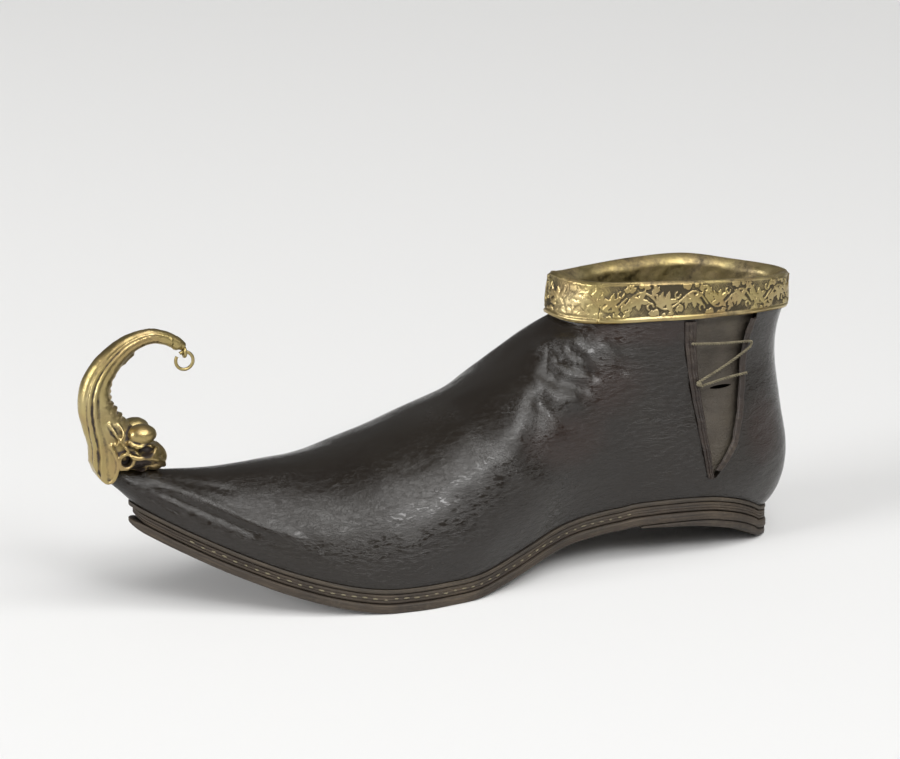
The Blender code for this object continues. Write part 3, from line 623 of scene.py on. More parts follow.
def patch(place, centre, size, edge):
    # a soft ellipsoid of colour at a place on the shoe: 1 inside, 0 outside
    shift = place.id_data.nodes.new("ShaderNodeMapping")
    shift.vector_type = "TEXTURE"
    shift.inputs["Location"].default_value = centre
    shift.inputs["Scale"].default_value = size
    wire(place, shift.inputs["Vector"])
    length = place.id_data.nodes.new("ShaderNodeVectorMath")
    length.operation = "LENGTH"
    wire(shift.outputs["Vector"], length.inputs[0])
    ragged = times(sums("SUBTRACT", noise(place, 55.0), 0.5), 0.9)
    return ramp(plus(length.outputs["Value"], ragged), (edge, 1.0), (1.0, 0.0))


# pale is the colour of both the real dust and the painted highlight on the lumps
upperLook = {
    "dark": (0.0098, 0.0068, 0.0045), "warm": (0.019, 0.0088, 0.0055),
    "grey": (0.0140, 0.0108, 0.0078), "pale": (0.036, 0.033, 0.031), "roughness": (0.13, 0.27),
    "grainDepth": 0.00013, "slowDepth": 0.0007, "coat": 0.22, "warmShare": 0.75, "warmEdge": 0.45,
    "warmPlaces": (((0.092, 0.030, 0.052), (0.020, 0.03, 0.012)),
                   ((0.070, 0.030, 0.070), (0.016, 0.03, 0.014)),
                   ((0.005, 0.020, 0.045), (0.012, 0.03, 0.016)),
                   ((0.060, 0.030, 0.090), (0.030, 0.03, 0.008))),
}


def makeUpperLook():
    s = upperLook
    look, shader, place, _ = newLook(
        "agedBlackLeather", Coat_Roughness=0.22, Coat_IOR=1.45, Specular_IOR_Level=0.46)
    grain = placeGroup(grainGroup, place, Pore_Scale=900.0, Wrinkle_Scale=300.0)
    dust = placeGroup(dustGroup, place, Amount=0.55)
    mottle = grain.outputs["Mottle"]
    colour = mixed(ramp(mottle, (0.38, 0.0), (0.62, 1.0)), s["dark"], s["grey"])
    for centre, size in s["warmPlaces"]:
        share = times(patch(place, centre, size, s["warmEdge"]), s["warmShare"])
        colour = mixed(share, colour, s["warm"])
    crackle = ramp(noise(place, 900.0, 5.0, 0.7), (0.44, 0.0), (0.60, 1.0))
    # painted highlight: a pale, crackled sheen on the lumps where the light falls, mixed with real dust
    paintedSheen = times(painted(shader, "paintedSheen"), crackle)
    dustAndSheen = sums("MAXIMUM", times(dust.outputs["Dust"], 0.40), paintedSheen, True)
    wire(mixed(dustAndSheen, colour, s["pale"]), shader.inputs["Base Color"])
    low, high = s["roughness"]
    rough = ramp(noise(place, 90.0, 5.0, 0.65), (0.30, low), (0.70, high))
    wire(plus(rough, times(dustAndSheen, 0.18)), shader.inputs["Roughness"])
    wire(times(ramp(mottle, (0.35, 1.0), (0.7, 0.3)), s["coat"]), shader.inputs["Coat Weight"])
    waves = noise(stretched(place, (0.7, 1.0, 1.5), (0, 20, 0)), 70.0, 4.0, 0.5, 0.5)
    slow = bumped(shader, waves, s["slowDepth"])
    bumped(shader, grain.outputs["Height"], s["grainDepth"], 0.8, slow)
    return look


def makeLiningLook():
    look, shader, place, _ = newLook("liningLeather", 0.62)
    grain = placeGroup(grainGroup, place, Pore_Scale=1100.0, Wrinkle_Scale=220.0)
    dust = placeGroup(dustGroup, place, Amount=0.5)
    colour = ramp(grain.outputs["Mottle"], (0.35, (0.036, 0.028, 0.020)),
                  (0.52, (0.066, 0.054, 0.040)), (0.68, (0.098, 0.082, 0.058)))
    wire(mixed(dust.outputs["Dust"], colour, (0.14, 0.125, 0.10)), shader.inputs["Base Color"])
    wire(ramp(noise(place, 240.0), (0.3, 0.5), (0.7, 0.75)), shader.inputs["Roughness"])
    bumped(shader, grain.outputs["Height"], 0.00016)
    return look


def makeEdgeLook(name, dark, mid, light, gloss):
    # the cut edge of leather
    look, shader, place, along = newLook(name, gloss)
    fibre = placeGroup(streakGroup, along)
    dust = placeGroup(dustGroup, place, Amount=0.7)
    colour = ramp(fibre.outputs["Tone"], (0.36, dark), (0.52, mid), (0.66, light))
    wire(mixed(dust.outputs["Dust"], colour, (0.13, 0.105, 0.072)), shader.inputs["Base Color"])
    wire(plus(times(fibre.outputs["Height"], 0.35), gloss - 0.15), shader.inputs["Roughness"])
    bumped(shader, fibre.outputs["Height"], 0.00035)
    return look


giltLook = {
    "gold": (0.41, 0.325, 0.138), "pale": (0.68, 0.60, 0.37), "rose": (0.40, 0.290, 0.135),
    "roughness": (0.24, 0.46), "specks": 0.45, "smudges": 0.55, "grainDepth": 0.00010,
}


def makeGiltLook(name, tarnishFrom, tarnishTo, paleShare, tarnish):
    # gilding that is bright on the ridges, and dark where the attribute says a groove is
    s = giltLook
    look, shader, place, _ = newLook(name)
    speck = noise(place, 420.0, 6.0, 0.7)
    smudge = noise(place, 70.0, 5.0, 0.6, 0.5)
    depth = plus(painted(shader, "groove"), times(sums("SUBTRACT", speck, 0.5), s["specks"]))
    depth = plus(depth, times(sums("SUBTRACT", smudge, 0.5), s["smudges"]))
    dark = ramp(depth, (tarnishFrom, 0.0), (tarnishTo, 1.0))
    gold = mixed(ramp(smudge, (0.42, 0.0), (0.66, 1.0)), s["gold"], s["rose"])
    worn = ramp(noise(place, 38.0, 3.0), (0.45, 0.0), (0.65, 1.0))
    gold = mixed(times(worn, paleShare), gold, s["pale"])
    wire(mixed(dark, gold, tarnish), shader.inputs["Base Color"])
    wire(sums("SUBTRACT", 1.0, times(dark, 0.75)), shader.inputs["Metallic"])
    low, high = s["roughness"]
    rough = ramp(noise(place, 150.0, 6.0, 0.7), (0.3, low), (0.7, high))
    wire(plus(rough, times(dark, 0.25)), shader.inputs["Roughness"])
    bumped(shader, plus(times(speck, 0.6), noise(place, 1900.0, 3.0)), s["grainDepth"], 0.7)
    return look


def makeCordLook():
    look, shader, _, along = newLook("twistedFibre", 0.72)
    strands = noise(stretched(along, (300.0, 4200.0, 1.0)), 1.0, 4.0, 0.6)
    wire(ramp(strands, (0.32, (0.050, 0.040, 0.025)), (0.5, (0.17, 0.145, 0.09)),
              (0.68, (0.36, 0.32, 0.21))), shader.inputs["Base Color"])
    bumped(shader, strands, 0.00012)
    return look


blackLeather, liningLeather = makeUpperLook(), makeLiningLook()
stripLeather = makeEdgeLook("facingLeather", (0.010, 0.0065, 0.0048), (0.026, 0.016, 0.011),
                            (0.048, 0.034, 0.025), 0.42)
soleLeather = makeEdgeLook("soleEdgeLeather", (0.014, 0.0095, 0.006), (0.040, 0.028, 0.018),
                           (0.085, 0.062, 0.039), 0.62)
liftLeather = makeEdgeLook("heelLiftLeather", (0.011, 0.008, 0.0055), (0.030, 0.021, 0.014),
                           (0.064, 0.047, 0.031), 0.60)
randLeather = makeEdgeLook("randLeather", (0.016, 0.012, 0.008), (0.042, 0.031, 0.020),
                           (0.095, 0.072, 0.046), 0.60)
bandGilt = makeGiltLook("chasedGilt", 0.46, 0.72, 0.35, (0.050, 0.037, 0.016))
mountGilt = makeGiltLook("castGilt", 0.58, 0.95, 0.30, (0.026, 0.016, 0.011))
cordFibre = makeCordLook()
print("materials made:", len(bpy.data.materials))


# camera, lights and floor

studio = {
    "cameraPlace": (0.4702, 0.8155, 0.3122), "cameraAim": (0.1207, -0.0079, 0.0691),
    "lens": 100.0, "floorSize": 30.0, "floorTone": 0.83, "facing": 23.0,
    "worldTone": (1.0, 0.995, 0.98),
    "roomLight": 0.16, "boxLight": 3.4,
    "boxEdges": (("X", 0.6, -1.0, 0.48, 0.68), ("X", 0.95, 1.0, 0.0, 0.25),
                 ("Y", 0.5, 1.0, 0.44, 0.60), ("Z", 0.0, 1.0, 0.36, 0.56)),
    "lights": (  # name, place, aim, width, height, watts
        ("leftBox", (3.60, 0.60, 1.35), (0.14, 0.0, 0.05), 1.5, 1.6, 90.0),
        ("frontBox", (-0.02, 1.25, 1.02), (0.10, 0.03, 0.07), 0.55, 0.34, 5.2))}


def aimed(thing, place, aim):
    thing.location = place
    way = np.array(aim) - np.array(place)
    thing.rotation_mode = "XYZ"
    level = math.hypot(way[0], way[1])
    thing.rotation_euler = (math.atan2(level, -way[2]), 0.0, math.atan2(-way[0], way[1]))


def makeRoom():
    # a dim room with one wide soft box over the table, in front and a little to the right
    s = studio
    world = bpy.data.worlds.new("softStudio")
    bpy.context.scene.world = world
    world.use_nodes = True
    tree = world.node_tree
    coordinates = tree.nodes.new("ShaderNodeTexCoord")
    turn = tree.nodes.new("ShaderNodeMapping")
    turn.inputs["Rotation"].default_value = (0, 0, math.radians(s["facing"]))
    wire(coordinates.outputs["Generated"], turn.inputs["Vector"])
    split = tree.nodes.new("ShaderNodeSeparateXYZ")
    wire(turn.outputs["Vector"], split.inputs["Vector"])
    box = None   # after the turn, X runs to the picture's left and Y towards the camera
    for axis, shift, way, low, high in s["boxEdges"]:
        share = ramp(plus(times(split.outputs[axis], way), shift), (low, 0.0), (high, 1.0))
        box = share if box is None else times(box, share)
    backdrop = tree.nodes["Background"]
    wire(plus(times(box, s["boxLight"] - s["roomLight"]), s["roomLight"]),
         backdrop.inputs["Strength"])
    backdrop.inputs["Color"].default_value = (*s["worldTone"], 1)


def makeStudio():
    s = studio
    camera = fresh(bpy.ops.object.camera_add)
    camera.data.lens, camera.data.sensor_width = s["lens"], 36.0
    camera.data.clip_start, camera.data.clip_end = 0.02, 60.0
    aimed(camera, s["cameraPlace"], s["cameraAim"])
    bpy.context.scene.camera = camera
    for name, place, aim, width, height, watts in s["lights"]:
        light = fresh(bpy.ops.object.light_add, type="AREA")
        light.name = name
        light.data.shape, light.data.size, light.data.size_y = "RECTANGLE", width, height
        light.data.energy = watts
        aimed(light, place, aim)
    makeRoom()
    floor = fresh(bpy.ops.mesh.primitive_plane_add, size=s["floorSize"], location=(0.12, 0, 0))
    floor.name = "studioFloor"
    look, shader, _, _ = newLook("paleFloor", 0.9, Specular_IOR_Level=0.2)
    shader.inputs["Base Color"].default_value = (s["floorTone"],) * 3 + (1,)
    floor.data.materials.append(look)
    bpy.context.scene.view_settings.view_transform = "Standard"


makeStudio()
print("camera, lights and floor in place")


# sole layers

def layerPiece(name, low, high, inset, profile, last=tipSection, perSection=9, heelRound=0.0):
    # a layer of the sole: profile is height share, further inset, from the bottom to the top
    steps = int(round(last * perSection))
    heights, draws = np.array(profile).T
    wobbleX, wobblePhase = random.uniform(150, 190), random.uniform(0, 6)

    def drawn(t, extra, side):
        behind = outline(t, side)[0][:, 0] - heelBack
        rounded = heelRound * (1 - soft(0, 0.014, behind)) * (extra > 0)
        wobble = 0.00012 * np.sin(behind * wobbleX * 2 + wobblePhase)
        return inset + extra + rounded + wobble * soft(0.004, 0.02, behind)

    def edge(side):
        def place(u, v):
            t = u * last
            share = np.interp(v, np.linspace(0, 1, len(heights)), heights)
            extra = np.interp(v, np.linspace(0, 1, len(heights)), draws)
            spot, _ = outline(t, side, drawn(t, extra, side))
            x, y = spot[:, 0], spot[:, 1]
            lowZ, highZ = low(x, y), high(x, y)
            return (np.c_[x, y, lowZ + (highZ - lowZ) * share],
                    np.c_[x, share * (highZ - lowZ) + 0.05 * side])
        return gridPiece("edge", steps, len(heights) - 1, place)

    def face(height, extra):
        def place(u, v):
            t = u * last
            ends = [outline(t, side, drawn(t, extra, side))[0] for side in (far, near)]
            spot = between(*ends, v)
            return np.c_[spot, height(spot[:, 0], spot[:, 1])], spot
        return gridPiece("face", steps, 10, place)

    pieces = [edge(near), edge(far), face(low, draws[0]), face(high, draws[-1])]
    piece = joinUp(name, pieces)
    if last < tipSection:
        closeHoles(piece)
    return smoothOut(piece, 50)


plainProfile = [(0.0, 0.0006), (0.06, 0.00025), (0.17, 0.0), (0.32, -0.0001), (0.5, 0.0),
                (0.68, -0.0001), (0.83, 0.0), (0.94, 0.00025), (1.0, 0.0006)]
splitProfile = [(0.0, 0.0006), (0.05, 0.0002), (0.14, 0.0), (0.26, -0.00012), (0.33, 0.0),
                (0.36, 0.0003), (0.39, 0.0), (0.52, -0.00012), (0.62, 0.0), (0.645, 0.0002),
                (0.67, 0.0), (0.82, -0.0001), (0.93, 0.00015), (1.0, 0.0006)]


def roundNose(piece, low, thick, back, reach):
    # the worn front end of a layer: thinner to its tip, and set back by as much as back
    points = readPoints(piece)
    share = np.clip((points[:, 0] - toeTip + reach) / reach, 0, 1)
    middle = low(points[:, 0], points[:, 1]) + thick / 2
    points[:, 2] = middle + (points[:, 2] - middle) * np.sqrt(1 - 0.72 * share ** 2)
    points[:, 0] -= back * share ** 2
    writePoints(piece, points)


def makeSole():
    front = heelBack + shoe["liftLength"]
    liftStops = np.linspace(0, 8, 800)
    liftEnd = liftStops[outline(liftStops, near)[0][:, 0] < front][-1]

    def liftTop(x, y):
        share = np.clip((x - front + shoe["liftSkive"]) / shoe["liftSkive"], 0, 1)
        return baseHeight(x, y) + shoe["lift"] + (shoe["liftEdge"] - shoe["lift"]) * share

    lift = layerPiece("stacked_heel_lift", baseHeight, liftTop, 0.0003,
                      [(0.0, 0.00025), (0.15, 0.0), (0.5, -0.0001), (0.85, 0.0), (1.0, 0.00025)],
                      last=liftEnd, heelRound=0.0016)
    dress(lift, liftLeather, standsFor=("heel_lift",))
    lower = layerPiece("lower_sole_layer", outsoleLow,
                       lambda x, y: outsoleLow(x, y) + shoe["outsole"], 0.0, plainProfile)
    roundNose(lower, outsoleLow, shoe["outsole"], 0.0, 0.0045)
    dress(lower, soleLeather, standsFor=("outsole",))
    middle = layerPiece("stitched_sole_layer", midsoleLow,
                        lambda x, y: midsoleLow(x, y) + shoe["midsole"], 0.0005, splitProfile)
    roundNose(middle, midsoleLow, shoe["midsole"], 0.0016, 0.0060)
    dress(middle, soleLeather, standsFor=("midsole",))
    makeRand()


def makeRand():
    width = shoe["randWidth"]

    def strip(side, edges):
        # edges is a list of two rows: inset share and height share
        def place(u, v):
            t = u * tipSection
            spot, _ = outline(t, side, 0.0)
            room = np.minimum(width, np.maximum(np.abs(spot[:, 1]) - gap, 0))
            room = np.where(t < 2, width, room)
            insets, heights = np.array(edges).T
            share = insets[0] + (insets[1] - insets[0]) * v
            lift = heights[0] + (heights[1] - heights[0]) * v
            spot, _ = outline(t, side, 0.0002 + share * room)
            x, y = spot[:, 0], spot[:, 1]
            return (np.c_[x, y, randLow(x, y) + shoe["rand"] * lift],
                    np.c_[x, share * room + lift * shoe["rand"]])
        return gridPiece("randStrip", tipSection * 9, 2, place)

    loops = [((0.03, 0.0), (0.0, 0.25)), ((0.0, 0.25), (0.0, 0.75)), ((0.0, 0.75), (0.03, 1.0)),
             ((0.03, 1.0), (1.0, 1.0)), ((1.0, 1.0), (1.0, 0.0)), ((1.0, 0.0), (0.03, 0.0))]
    rand = joinUp("rand_strip", [strip(side, rows) for side in (near, far) for rows in loops])
    dress(smoothOut(rand, 50), randLeather, standsFor=("rand",))


def makeInsole():
    inset = shoe["featherInset"] + shoe["wall"] + 2 * gap

    def seat(x, y):
        return stackHeight(x, y) + shoe["insoleGap"]

    stops = np.linspace(0, tipSection, 1800)
    end = stops[outline(stops, near)[0][:, 0] < toeTip - 0.0144][-1]
    piece = layerPiece("leather_insole", seat, lambda x, y: seat(x, y) + shoe["insole"], inset,
                       [(0.0, 0.0004), (0.3, 0.0), (0.7, 0.0), (1.0, 0.0004)], last=end)
    dress(piece, liningLeather, standsFor=("insole",))


makeSole()
makeInsole()
print("sole layers made")


# upper

upper = {"perSection": 13, "stepsUp": 54, "hollowEnd": 16, "lipDrop": 0.006}
creases = (  # side, points along and up in millimetres, width, depth
    (near, ((84, 83), (80, 79), (77, 74)), 1.3, -1.3),
    (near, ((89, 80), (83, 77), (78, 76)), 1.5, -1.2),
    (near, ((93, 83), (88, 85), (82, 86)), 2.0, 1.1),
    (near, ((92, 74), (86, 72), (81, 70)), 2.0, -1.1),
    (near, ((98, 72), (94, 68), (87, 66)), 2.4, 1.0),
    (near, ((72, 86), (68, 81), (66, 75)), 1.4, -1.0),
    (near, ((100, 66), (96, 61), (90, 57)), 2.6, -1.0),
    (near, ((118, 62), (108, 55), (98, 46)), 6.0, -0.7),
    (near, ((128, 58), (118, 50), (108, 40)), 5.0, 0.6),
    (near, ((150, 47), (140, 40), (130, 30)), 6.0, -0.5),
    (near, ((28.7, 30), (29.5, 25), (30.5, 19)), 0.9, -0.5),
    (near, ((242, 49.5), (225, 41.9), (210, 34.5), (196, 29)), 2.0, 0.8),
    (near, ((240, 46), (224, 38.5), (209, 31)), 1.6, -0.7),
    (near, ((236, 50), (226, 47), (214, 44)), 1.3, -0.5),
    (near, ((243, 44), (238, 41), (232, 37.5)), 1.0, -0.5),
    (far, ((90, 80), (84, 77), (79, 73)), 2.0, -0.7),
    (far, ((99, 70), (92, 66), (86, 60)), 2.6, -0.6),
    (far, ((118, 60), (108, 52), (100, 43)), 6.0, -0.6),
    (far, ((240, 49), (224, 41), (208, 34)), 1.8, 0.6),
    (far, ((238, 46), (222, 38), (208, 31)), 1.6, -0.6),
)


def creaseDepth(points, side):
    # how far the creases move each point of the outer face
    total = np.zeros(len(points))
    flat = points[:, [0, 2]] * 1000
    for creaseSide, path, width, depth in creases:
        if creaseSide == side:
            path = np.array(path, float)
            away = np.min([offLine(flat, a, b)[1] for a, b in zip(path, path[1:])], axis=0)
            total += depth * bump(away, 0, width)
    x, y, z = (points * 1000).T
    total += 0.26 * np.sin(x / 7.1 + z / 11.0) * np.sin(z / 6.3 - x / 13.0 + 1.0)
    total += 0.04 * np.sin(x / 3.1 + 0.7 * z) * np.sin(z / 2.7 + y / 5.0)
    return total / 1000


def toeSwell(points, s):
    # the leather rises under the mount and runs on in front of the sole's tip
    x = points[:, 0] * 1000
    rise = 1.2 * soft(212, 233, x) + 2.1 * soft(232, 243, x) + 2.5 * soft(243, 250, x)
    ahead = 3.5 * soft(238, 252, x)
    return np.c_[ahead * s, 0 * x, rise * s] / 1000


def wornLeather(t, s, side):
    # the outer face with its creases, which fade out at the sole and at the collar
    points, normals = leather(t, s, side)
    points = points + toeSwell(points, s)
    fade = soft(0, 0.10, s) * np.where(t <= frontSection + 0.6, 1 - soft(0.86, 0.98, s), 1.0)
    fade = fade * soft(0.004, 0.012, np.abs(points[:, 1]))
    return points + normals * (creaseDepth(points, side) * fade)[:, None], normals


def makeUpper():
    steps, stepsUp, hollowEnd = (upper[key] for key in ("perSection", "stepsUp", "hollowEnd"))
    wall, lip = shoe["wall"], upper["lipDrop"]
    lastHollow, endSections = hollowEnd * steps, (tipSection - hollowEnd) * steps

    def laid(stepsU, stepsV, surface):
        def place(u, v):
            points = surface(u, v)
            return points, points[:, [0, 2]]
        return gridPiece("upperPart", stepsU, stepsV, place)

    def outer(t, v, side):
        return wornLeather(t, v, side)[0]

    def inner(t, v, side):
        points, normals = wornLeather(t, v, side)
        inside = points - normals * wall
        inside[:, 2] = np.where(v <= 0, points[:, 2], inside[:, 2])
        collarRow = collarPoint(np.minimum(t, frontSection), side, collarInset + wall, collarDrop)
        atCollar = (v >= 1) & (t <= frontSection)
        return np.where(atCollar[:, None], collarRow, inside)

    def footEdge(t, share, side):
        return between(outer(t, 0 * t, side), inner(t, 0 * t, side), share)

    def endRow(u):
        return np.full(len(u), float(hollowEnd))

    def tipRow(u):
        return hollowEnd + u * (tipSection - hollowEnd)

    pieces = []
    for side in (near, far):
        pieces += [
            laid(tipSection * steps, stepsUp, lambda u, v: outer(u * tipSection, v, side)),
            laid(lastHollow, stepsUp, lambda u, v: inner(u * hollowEnd, v, side)),
            laid(lastHollow, 1, lambda u, v: footEdge(u * hollowEnd, v, side)),
            laid(frontSection * steps, 1, lambda u, v: collarPoint(
                u * frontSection, side, collarInset + wall * v, lip))]
        for inset in (collarInset, collarInset + wall):
            pieces.append(laid(frontSection * steps, 3, lambda u, v: collarPoint(
                u * frontSection, side, inset, collarDrop * (1 - v) + lip * v)))
    pieces.append(laid(stepsUp, 8, lambda u, v: between(
        inner(endRow(u), u, near), inner(endRow(u), u, far), v)))
    pieces.append(laid(endSections, 8, lambda u, v: between(
        outer(tipRow(u), 0 * u, near), outer(tipRow(u), 0 * u, far), v)))
    pieces.append(laid(1, 8, lambda u, v: between(
        footEdge(endRow(u), 1 - u, near), footEdge(endRow(u), 1 - u, far), v)))
    piece = joinUp("leather_upper", pieces)
    combine(piece, notchCutter(), "DIFFERENCE")
    smoothOut(piece, 40)
    # a painted highlight for the leather's material, on the lumps the light catches
    paint(piece, "paintedSheen", paintedSheenPlaces(piece))
    dress(piece, blackLeather, standsFor=("upper",))
    return piece


def paintedSheenPlaces(piece):
    # a painted highlight: pale grey on the lumps at the ankle's front, the instep and the toe, where the
    # light falls on them, and paler on their ridges
    points = readPoints(piece) * 1000
    places = (((92, 22, 82), (12, 14, 9)), ((104, 24, 62), (14, 14, 10)),
              ((122, 30, 48), (12, 12, 12)), ((205, 14, 44), (34, 10, 6)),
              ((96, -20, 80), (12, 14, 10)), ((230, -6, 50), (14, 8, 4)),
              ((150, 6, 62), (40, 14, 4)))
    value = np.zeros(len(points))
    for centre, size in places:
        away = np.linalg.norm((points - centre) / size, axis=1)
        value = np.maximum(value, 1 - soft(0.35, 1.15, away))
    ridges = 1 - hollowness(piece, 3, 0.8)
    return np.clip(value * 0.40 + (ridges - 0.55) * 0.8 * (value > 0.05), 0, 1)


notch = {"width": 0.0285, "front": 0.0430, "point": 0.0352, "pointHeight": 0.0295}
notchFrontRows = np.array([(0.00, 0.00), (0.40, 0.28), (0.80, 0.62), (0.97, 0.83), (1.00, 1.00)])
notchRearRows = np.array([(0.00, 0.00), (0.28, 0.11), (0.52, 0.24), (0.68, 0.45), (0.74, 0.60),
                          (0.80, 0.78), (1.00, 1.00)])


def notchEdge(rows, topX, share):
    share = np.atleast_1d(share)
    pointX = heelBack + notch["point"]
    reach = np.interp(share, rows[:, 1], rows[:, 0])
    collarShare = (topX - heelBack - collar["back"]) / collar["length"]
    top = (collar["backHeight"] - collar["height"]
           + (collar["frontHeight"] - collar["backHeight"]) * collarShare)
    return np.c_[pointX + (topX - pointX) * reach,
                 notch["pointHeight"] + (top - notch["pointHeight"]) * share]


def notchFront(share):
    return notchEdge(notchFrontRows, heelBack + notch["front"], share)


def notchRear(share):
    return notchEdge(notchRearRows, heelBack + notch["front"] - notch["width"], share)


def notchCutter():
    shares = np.r_[np.linspace(0, 1, 9), 1.3]
    ring = np.vstack([notchFront(shares), notchRear(shares[:0:-1])])
    ring = np.vstack([ring, ring[:1]])

    def place(u, v):
        k = np.round(u * (len(ring) - 1)).astype(int)
        y = shoe["heelWidth"] * (0.2 + 0.8 * v)
        return np.c_[ring[k, 0], y, ring[k, 1]], np.c_[u, v]
    return closeHoles(joinUp("notchCutter", [gridPiece("ring", len(ring) - 1, 1, place)]))


upperPiece = makeUpper()
print("upper made:", len(upperPiece.data.polygons), "faces")


# side opening

notchTop = collar["backHeight"] - collar["height"] + 0.003


def sideGrid(name, left, right, shareEnds, stepsUp, stepsAcross, offset, topShift=0.0):
    # a panel between two edges; offset(across, up) is its distance from the leather
    first, last = shareEnds
    leatherEnd = min(last, 1)

    def surface(u, share, away):
        spot = between(left(share), right(share), u)
        return onSide(spot[:, 0], spot[:, 1], away), spot

    def place(u, v):
        share = first + (leatherEnd - first) * v
        return surface(u, share, offset(u, share))

    def placeTop(u, v):
        # above the leather's own edge the panel goes straight up, behind the band
        edge, none = np.ones(len(u)), 0 * u
        base, spot = surface(u, edge, offset(u, edge))
        out = unit(surface(u, edge, none + 0.001)[0] - surface(u, edge, none)[0])
        rise = (last - 1) * v * (notchTop - notch["pointHeight"])
        return (base + np.c_[none, none, rise] + out * (topShift * np.minimum(v * 3, 1))[:, None],
                spot + np.c_[none, rise])

    piece = gridPiece(name, stepsAcross, stepsUp, place)
    if last <= 1:
        return piece
    return joinUp(name, [piece, gridPiece(name + "Top", stepsAcross, 8, placeTop)])


def shifted(edge, ahead, down=0.0):
    def moved(share):
        return edge(share) + np.c_[ahead * np.ones(len(share)), -down * (1 - share)]
    return moved


gusset = {"lap": 0.0030, "top": 1.13, "topShift": 0.0011, "thickness": 0.0006,
          "slitHeight": 0.575, "slitShare": 0.45, "slitSize": (0.0050, 0.004, 0.00075)}


def makeGusset():
    lap, at = gusset["lap"], np.array([gusset["slitHeight"]])
    inner = -(shoe["wall"] + gap)

    def offset(u, share):
        return inner - 0.0002 - 0.0004 * np.sin(9 * share + 4 * u) ** 2

    panel = sideGrid("side_panel", shifted(notchRear, -lap, lap), shifted(notchFront, lap, lap),
                     (0.0, gusset["top"]), 70, 30, offset, gusset["topShift"])
    modify(panel, "SOLIDIFY", thickness=gusset["thickness"], offset=0)
    slit = (notchRear(at) * (1 - gusset["slitShare"]) + notchFront(at) * gusset["slitShare"])[0]
    spot = onSide(slit[:1], slit[1:], inner)[0]
    combine(panel, ellipsoid(spot, gusset["slitSize"], 24), "DIFFERENCE")
    smoothOut(panel, 40)
    dress(panel, liningLeather, standsFor=("side_gusset",))


def strip(name, edge, widths, shareEnds, height, bed, thick, standsFor=()):
    # a folded strip of leather with rounded edges, laid along an edge of the notch
    def other(share):
        return edge(share) + np.c_[widths[0] + (widths[1] - widths[0]) * share, 0 * share]

    def offset(u, share):
        crown = (1 - np.abs(2 * u - 1) ** 3.5) * height * (1 - 0.7 * soft(0.97, 1.03, share))
        groove = 0.00040 * (bump(u, 0.66, 0.07) + bump(u, 0.34, 0.06))
        wave = 0.00022 * np.sin(70 * share) * np.sin(3.1 * u) + 0.00015 * np.sin(31 * share + 2)
        return bed + crown - groove + wave

    piece = sideGrid(name, edge, other, shareEnds, 90, 14, offset)
    modify(piece, "SOLIDIFY", thickness=thick, offset=-1 if widths[0] > 0 else 1)
    smoothOut(piece, 60)
    dress(piece, stripLeather, standsFor=standsFor)


laceRoute = np.array([  # across from the rear edge to the front edge, and up the notch
    (1.12, 0.872), (0.60, 0.864), (0.10, 0.858), (0.045, 0.838), (0.10, 0.808), (0.52, 0.720),
    (1.00, 0.640), (1.07, 0.626), (1.03, 0.606), (0.92, 0.612), (0.50, 0.640), (0.06, 0.655)])
lace = {"radius": 0.00058, "strandRadius": 0.00031, "pitch": 0.0024, "knot": 0.0011}


def sweep(name, path, rings, stepsAround, place):
    # a tube along a path; place(length, turn) gives its offset in the path's own frame
    path = np.asarray(path, float)
    run = unit(np.gradient(path, axis=0))
    sideways = np.zeros_like(path)
    guide = np.array([0.0, 1.0, 0.0])
    for k in range(len(path)):
        guide = guide - run[k] * (guide @ run[k])
        guide /= np.linalg.norm(guide)
        sideways[k] = guide
    up = np.cross(run, sideways)
    length = lengthAlong(path)

    def lay(u, v):
        along = u * length[-1]
        here, a, b = (np.array([np.interp(along, length, c) for c in rows.T]).T
                      for rows in (path, sideways, up))
        first, second = place(along, 2 * math.pi * v)
        return here + a * first[:, None] + b * second[:, None], np.c_[along, v * 0.002]
    return closeHoles(joinUp(name, [gridPiece(name, rings, stepsAround, lay)]))


def makeLace():
    lift = gap + 0.0010 + gap + lace["radius"]
    rear, front = notchRear(laceRoute[:, 1]), notchFront(laceRoute[:, 1])
    spots = rear + (front - rear) * laceRoute[:, :1]
    route = onSide(spots[:, 0], spots[:, 1],
                   lift * np.where(laceRoute[:, 0] > 0.9, 1.12, 1.0))
    path = spline(openEnded(route), np.linspace(0, len(route) - 1, 320))
    strands = []
    for start in (0, math.pi):
        def around(along, turn, start=start):
            twist = start + 2 * math.pi * along / lace["pitch"]
            r, q = lace["radius"] - lace["strandRadius"], lace["strandRadius"]
            return (r * np.cos(twist) + q * np.cos(turn + twist),
                    r * np.sin(twist) + q * np.sin(turn + twist))
        strands.append(sweep("strand", path, 520, 8, around))
    knot = path[int(0.66 * len(path))]
    for turn in (0.4, 1.7, 2.8):
        coil = torus(knot, lace["knot"] * 0.62, lace["radius"] * 0.62, (turn, 0.7 * turn, 0.3))
        strands.append(coil)
    cord = joinUp("twisted_lace", strands, 1e-8)
    dress(smoothOut(cord, 80), cordFibre, standsFor=("side_lace",))


makeGusset()
strip("side_facing_strip", notchFront, (0.0025, 0.0050), (0.015, 1.011), 0.0008, gap, 0.0002,
      ("side_facing",))
strip("rear_edge_strip", shifted(notchRear, 0.0004), (0.0018, 0.0022), (0.06, 1.0), 0.0005,
      -0.0006, 0.0008)
makeLace()
print("side opening made")


# collar band

band = {
    "steps": 1080, "rows": 50, "relief": 0.00060, "halfWave": 10.8, "middle": 7.3,
    # in millimetres from the front and up the band, with half widths
    "darkPlaces": ((50, 11.0, 4.5, 1.8), (65, 6.0, 4.0, 2.6), (84, 9.0, 4.0, 2.6),
                   (100, 7.0, 6.0, 3.0)),
}


